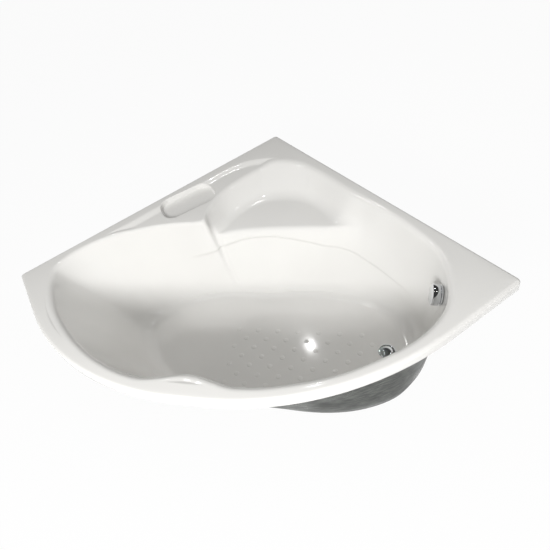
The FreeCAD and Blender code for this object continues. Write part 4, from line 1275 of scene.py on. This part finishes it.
@dataclass
class GripRibs:
    """Ribs round a moulded nut, for turning it by hand."""

    name: str
    place: Matrix
    radius: float
    length: float
    count: int = 16
    width: float = 3.0
    height: float = 1.6

    def build(self, material: bpy.types.Material, slot: str) -> bpy.types.Object:
        """Make the ribs and fix them to the tub.

        Args:
            material: finish of the nut.
            slot: the record's slot for that finish.

        Returns:
            The ribs.
        """
        recipe = NodeRecipe(self.name, {
            "Count": self.count, "Radius": self.radius * MM, "Length": self.length * MM,
            "Width": self.width * MM, "Height": self.height * MM})
        given = recipe.inputs
        circle = recipe.add("GeometryNodeMeshCircle",
                            {"Vertices": given["Count"], "Radius": given["Radius"]})
        position = recipe.add("GeometryNodeInputPosition").outputs[0]
        turn = recipe.add("FunctionNodeAlignRotationToVector", {"Vector": position}, axis="X")
        size = recipe.add("ShaderNodeCombineXYZ",
                          {"X": given["Height"], "Y": given["Width"], "Z": given["Length"]})
        rib = recipe.add("GeometryNodeMeshCube", {"Size": size.outputs[0]})
        ribs = recipe.add("GeometryNodeInstanceOnPoints", {
            "Points": circle.outputs[0], "Instance": rib.outputs[0], "Rotation": turn.outputs[0]})
        recipe.finish(ribs.outputs[0])
        return recipe.piece(self.place, material, slot)


# ---------------------------------------------------------------------------
# Studio
# ---------------------------------------------------------------------------
@dataclass
class Studio:
    """Camera, lamps, floor and world, in metres and watts.

    A lamp is its name, place, target, width and height, power, and whether it shows in mirrors.
    """

    eye: tuple = (0.71151, -1.45685, 1.92596)
    right: tuple = (0.945994, 0.224616, -0.233756)
    down: tuple = (-0.004724, -0.711435, -0.702736)
    forward: tuple = (-0.324148, 0.665888, -0.671953)
    focal_px: float = 474.866
    middle_px: tuple = (249.643, 256.916)
    image_px: float = 550.0
    sensor_mm: float = 36.0
    lamps: tuple = (("key_softbox", (-0.1, -3.5, 2.4), (0, 0, 0.5), (1.2, 1.0), 134, False),
                    ("fill_softbox", (2.6, -2.6, 1.7), (-0.3, 0, 0.4), (1.6, 0.8), 19, False),
                    ("top_softbox", (0.3, 0.2, 3.4), (0, -0.1, 0.3), (2.4, 2.4), 11, False),
                    ("back_spot", (-0.46, 1.77, 3.2), (0.2, -0.2, 0.2), (0.07, 0.07), 2.2, True))
    spots: int = 6
    spot_first: tuple = (-1.6, 0.9, 3.2)
    spot_pitch: float = 0.7
    spot_stagger: float = 1.5
    spot_target: tuple = (0, -0.2, 0)
    spot_size: tuple = (0.1, 0.1)
    spot_watts: float = 1.2
    paper: str = "#ececec"
    paper_glow: float = 0.95
    floor_half: float = 14.0
    floor_gap: float = 0.0005
    air: str = "#f5f4f2"
    air_strength: float = 0.26
    air_in_mirrors: float = 0.05

    def camera(self) -> None:
        """Put the camera where the photo was taken from, with the photo's middle and focal length."""
        data = bpy.data.cameras.new("camera")
        data.sensor_width = self.sensor_mm
        data.lens = self.focal_px * self.sensor_mm / self.image_px
        data.shift_x = (self.image_px / 2 - self.middle_px[0]) / self.image_px
        data.shift_y = (self.middle_px[1] - self.image_px / 2) / self.image_px
        data.clip_end = 100
        camera = bpy.data.objects.new("camera", data)
        right, up, back = Vector(self.right), -Vector(self.down), -Vector(self.forward)
        rotation = Matrix((right, up, back)).transposed().to_4x4()
        camera.matrix_world = Matrix.Translation(Vector(self.eye)) @ rotation
        bpy.context.scene.collection.objects.link(camera)
        bpy.context.scene.camera = camera

    def lamp(self, name: str, at: tuple, to: tuple, size: tuple, watts: float, mirrored: bool) -> None:
        """Hang a rectangular lamp.

        Args:
            name: object name.
            at: where it hangs.
            to: where it looks.
            size: its width and height.
            watts: its power.
            mirrored: whether it shows in mirrors.
        """
        data = bpy.data.lights.new(name, "AREA")
        data.shape = "RECTANGLE"
        data.size, data.size_y = size
        data.energy = watts
        lamp = bpy.data.objects.new(name, data)
        turn = (Vector(to) - Vector(at)).to_track_quat("-Z", "Y")
        lamp.matrix_world = Matrix.Translation(Vector(at)) @ turn.to_matrix().to_4x4()
        lamp.visible_glossy = mirrored
        bpy.context.scene.collection.objects.link(lamp)

    @staticmethod
    def seen(tree: bpy.types.NodeTree) -> bpy.types.NodeSocket:
        """Tell rays that look at the scene from rays that light it.

        Args:
            tree: node tree that gets the nodes.

        Returns:
            Socket that is 1 for rays from the camera, mirrors and glass, and otherwise 0.
        """
        path = add_node(tree, "ShaderNodeLightPath")
        bounced = add_node(tree, "ShaderNodeMath", {0: path.outputs["Is Glossy Ray"],
                                                    1: path.outputs["Is Transmission Ray"]},
                           operation="MAXIMUM")
        return add_node(tree, "ShaderNodeMath", {0: path.outputs["Is Camera Ray"], 1: bounced.outputs[0]},
                        operation="MAXIMUM").outputs[0]

    def backdrop_material(self) -> bpy.types.Material:
        """Make the matt paper, nearly white to the camera and mirrors, with faint shadows on it.

        Returns:
            The material.
        """
        material = surface("studio_paper", self.paper, 0.9)
        tree = material.node_tree
        matt = tree.nodes["Principled BSDF"].outputs[0]
        share = add_node(tree, "ShaderNodeMath", {0: self.seen(tree), 1: self.paper_glow},
                         operation="MULTIPLY")
        glow = add_node(tree, "ShaderNodeEmission", {"Color": (1, 1, 1, 1), "Strength": 1.0})
        mix = add_node(tree, "ShaderNodeMixShader", {0: share.outputs[0], 1: matt, 2: glow.outputs[0]})
        tree.links.new(mix.outputs[0], tree.nodes["Material Output"].inputs["Surface"])
        return material

    def floor(self) -> None:
        """Lay a large floor just under the feet, so that no two faces share a plane."""
        mesh = bpy.data.meshes.new("studio_floor")
        corners = [(x * self.floor_half, y * self.floor_half, -self.floor_gap)
                   for x, y in ((-1, -1), (1, -1), (1, 1), (-1, 1))]
        mesh.from_pydata(corners, [], [(0, 1, 2, 3)])
        make_object("studio_floor", mesh, self.backdrop_material())

    def world(self) -> None:
        """Make even pale surroundings that the camera sees as white and mirrors as a dim ceiling."""
        world = bpy.data.worlds.new("studio_world")
        bpy.context.scene.world = world
        world.use_nodes = True
        tree = world.node_tree
        path = add_node(tree, "ShaderNodeLightPath")
        shown = None
        for ray, tint, strength in ((None, colour(self.air), self.air_strength),
                                    ("Is Glossy Ray", colour(self.air), self.air_in_mirrors),
                                    ("Is Camera Ray", (1, 1, 1, 1), 1.0)):
            layer = add_node(tree, "ShaderNodeBackground", {"Color": tint, "Strength": strength}).outputs[0]
            if ray:
                layer = add_node(tree, "ShaderNodeMixShader",
                                 {0: path.outputs[ray], 1: shown, 2: layer}).outputs[0]
            shown = layer
        tree.links.new(shown, tree.nodes["World Output"].inputs["Surface"])

    def build(self) -> None:
        """Set up everything that isn't the object."""
        self.camera()
        for lamp in self.lamps:
            self.lamp(*lamp)
        x, y, z = self.spot_first
        for k in range(self.spots):
            self.lamp(f"ceiling_spot_{k}", (x + self.spot_pitch * k, y - self.spot_stagger * (k % 2), z),
                      self.spot_target, self.spot_size, self.spot_watts, True)
        self.floor()
        self.world()
        bpy.context.scene.view_settings.view_transform = "Standard"


# ---------------------------------------------------------------------------
# Everything else
# ---------------------------------------------------------------------------
CAD_FINISHES = {
    Finish.BOARD: ("base_board", "seat_board", "rim_batten_left", "rim_batten_right"),
    Finish.RAIL: ("leg_rail_head", "leg_rail_foot"),
    Finish.ZINC: ("rail_screws", "leg_studs", "leg_nuts"),
    Finish.CHROME: ("drain_flange", "overflow_plate", "overflow_knob", "drain_plug"),
    Finish.BRASS: ("stem_guide",),
    Finish.RUBBER: ("drain_seal", "drain_lower_seal", "overflow_seal", "overflow_rear_seal", "plug_seal"),
    Finish.WHITE_PLASTIC: ("waste_body", "trap_nut", "trap_body", "overflow_body", "overflow_pipe",
                           "pipe_nuts"),
    Finish.GREY_PLASTIC: ("lift_cable", "lift_lever", "foot_pad_head_front", "foot_pad_head_rear",
                          "foot_pad_foot_front", "foot_pad_foot_rear"),
    Finish.LAMINATE: ("fibreglass_backing",),
}


def body_of_node(node: str) -> str:
    """Name of the body that a CAD node rides on."""
    return next(name for name, nodes in frame["record"]["behaviour"]["bodies"].items() if node in nodes)


def dress_node(node: str, finish: Finish,
               finishes: dict[Finish, bpy.types.Material]) -> bpy.types.Object:
    """Show a CAD node as a merged, smooth copy with its finish.

    Args:
        node: name of the node.
        finish: its finish.
        finishes: materials by finish.

    Returns:
        The copy.
    """
    piece = make_object(node + "_dressed", merged_copy(node), finishes[finish])
    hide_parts(node)
    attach(piece, body_of_node(node))
    return piece


def solid_boxes(node: str) -> list[tuple[Vector, Vector]]:
    """Measure every separate solid of a CAD node.

    Args:
        node: name of the node.

    Returns:
        Lowest and highest corner of each, ordered by the lowest corner to the millimetre, because the set
        that they are picked from has no order of its own.
    """
    work = merged(frame["nodes"][node].data)
    left = set(work.verts)
    boxes = []
    while left:
        found, queue = [], [left.pop()]
        while queue:
            vertex = queue.pop()
            found.append(vertex.co.copy())
            for edge in vertex.link_edges:
                other = edge.other_vert(vertex)
                if other in left:
                    left.remove(other)
                    queue.append(other)
        boxes.append((Vector(map(min, *found)), Vector(map(max, *found))))
    work.free()
    return sorted(boxes, key=lambda box: [round(value / MM) for value in box[0]])


def build_threads(material: bpy.types.Material) -> list[bpy.types.Object]:
    """Make the thread on the bare length of every levelling stud, between its pad and its lock nut.

    Args:
        material: finish of the studs.

    Returns:
        The threads.
    """
    pad_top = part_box("foot_pad_head_front")[1].z
    nut_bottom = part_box("leg_nuts")[0].z
    threads = []
    for k, (low, high) in enumerate(solid_boxes("leg_studs")):
        foot = Vector(((low.x + high.x) / 2, (low.y + high.y) / 2, pad_top))
        thread = ScrewThread(f"stud_thread_{k}", foot, (nut_bottom - pad_top) / MM,
                             (high.x - low.x) / 2 / MM)
        threads.append(thread.build(material, Finish.ZINC.value))
    return threads


def build_ribs(material: bpy.types.Material, margin: float = 1.0) -> bpy.types.Object:
    """Make the grip ribs round the trap's nut.

    Args:
        material: finish of the nut.
        margin: how far the ribs stop short of each end of the nut, in millimetres.

    Returns:
        The ribs.
    """
    low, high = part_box("trap_nut")
    ribs = GripRibs("trap_nut_ribs", Matrix.Translation((low + high) / 2), (high.x - low.x) / 2 / MM,
                    (high.z - low.z) / MM - 2 * margin)
    return ribs.build(material, Finish.WHITE_PLASTIC.value)


def main() -> None:
    """Build the studio and every piece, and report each."""
    logging.basicConfig(level=logging.INFO)
    Studio().build()
    finishes = make_finishes()
    pieces = [BathShell(finishes).build(), FloorStuds().build(finishes[Finish.ACRYLIC])]
    pieces += build_threads(finishes[Finish.ZINC])
    pieces.append(build_ribs(finishes[Finish.WHITE_PLASTIC]))
    pieces += [dress_node(node, finish, finishes)
               for finish, nodes in CAD_FINISHES.items() for node in nodes]
    for piece in pieces:
        LOG.info("built %s with %d faces", piece.name, len(piece.data.polygons))


if __name__ == "__main__":
    main()
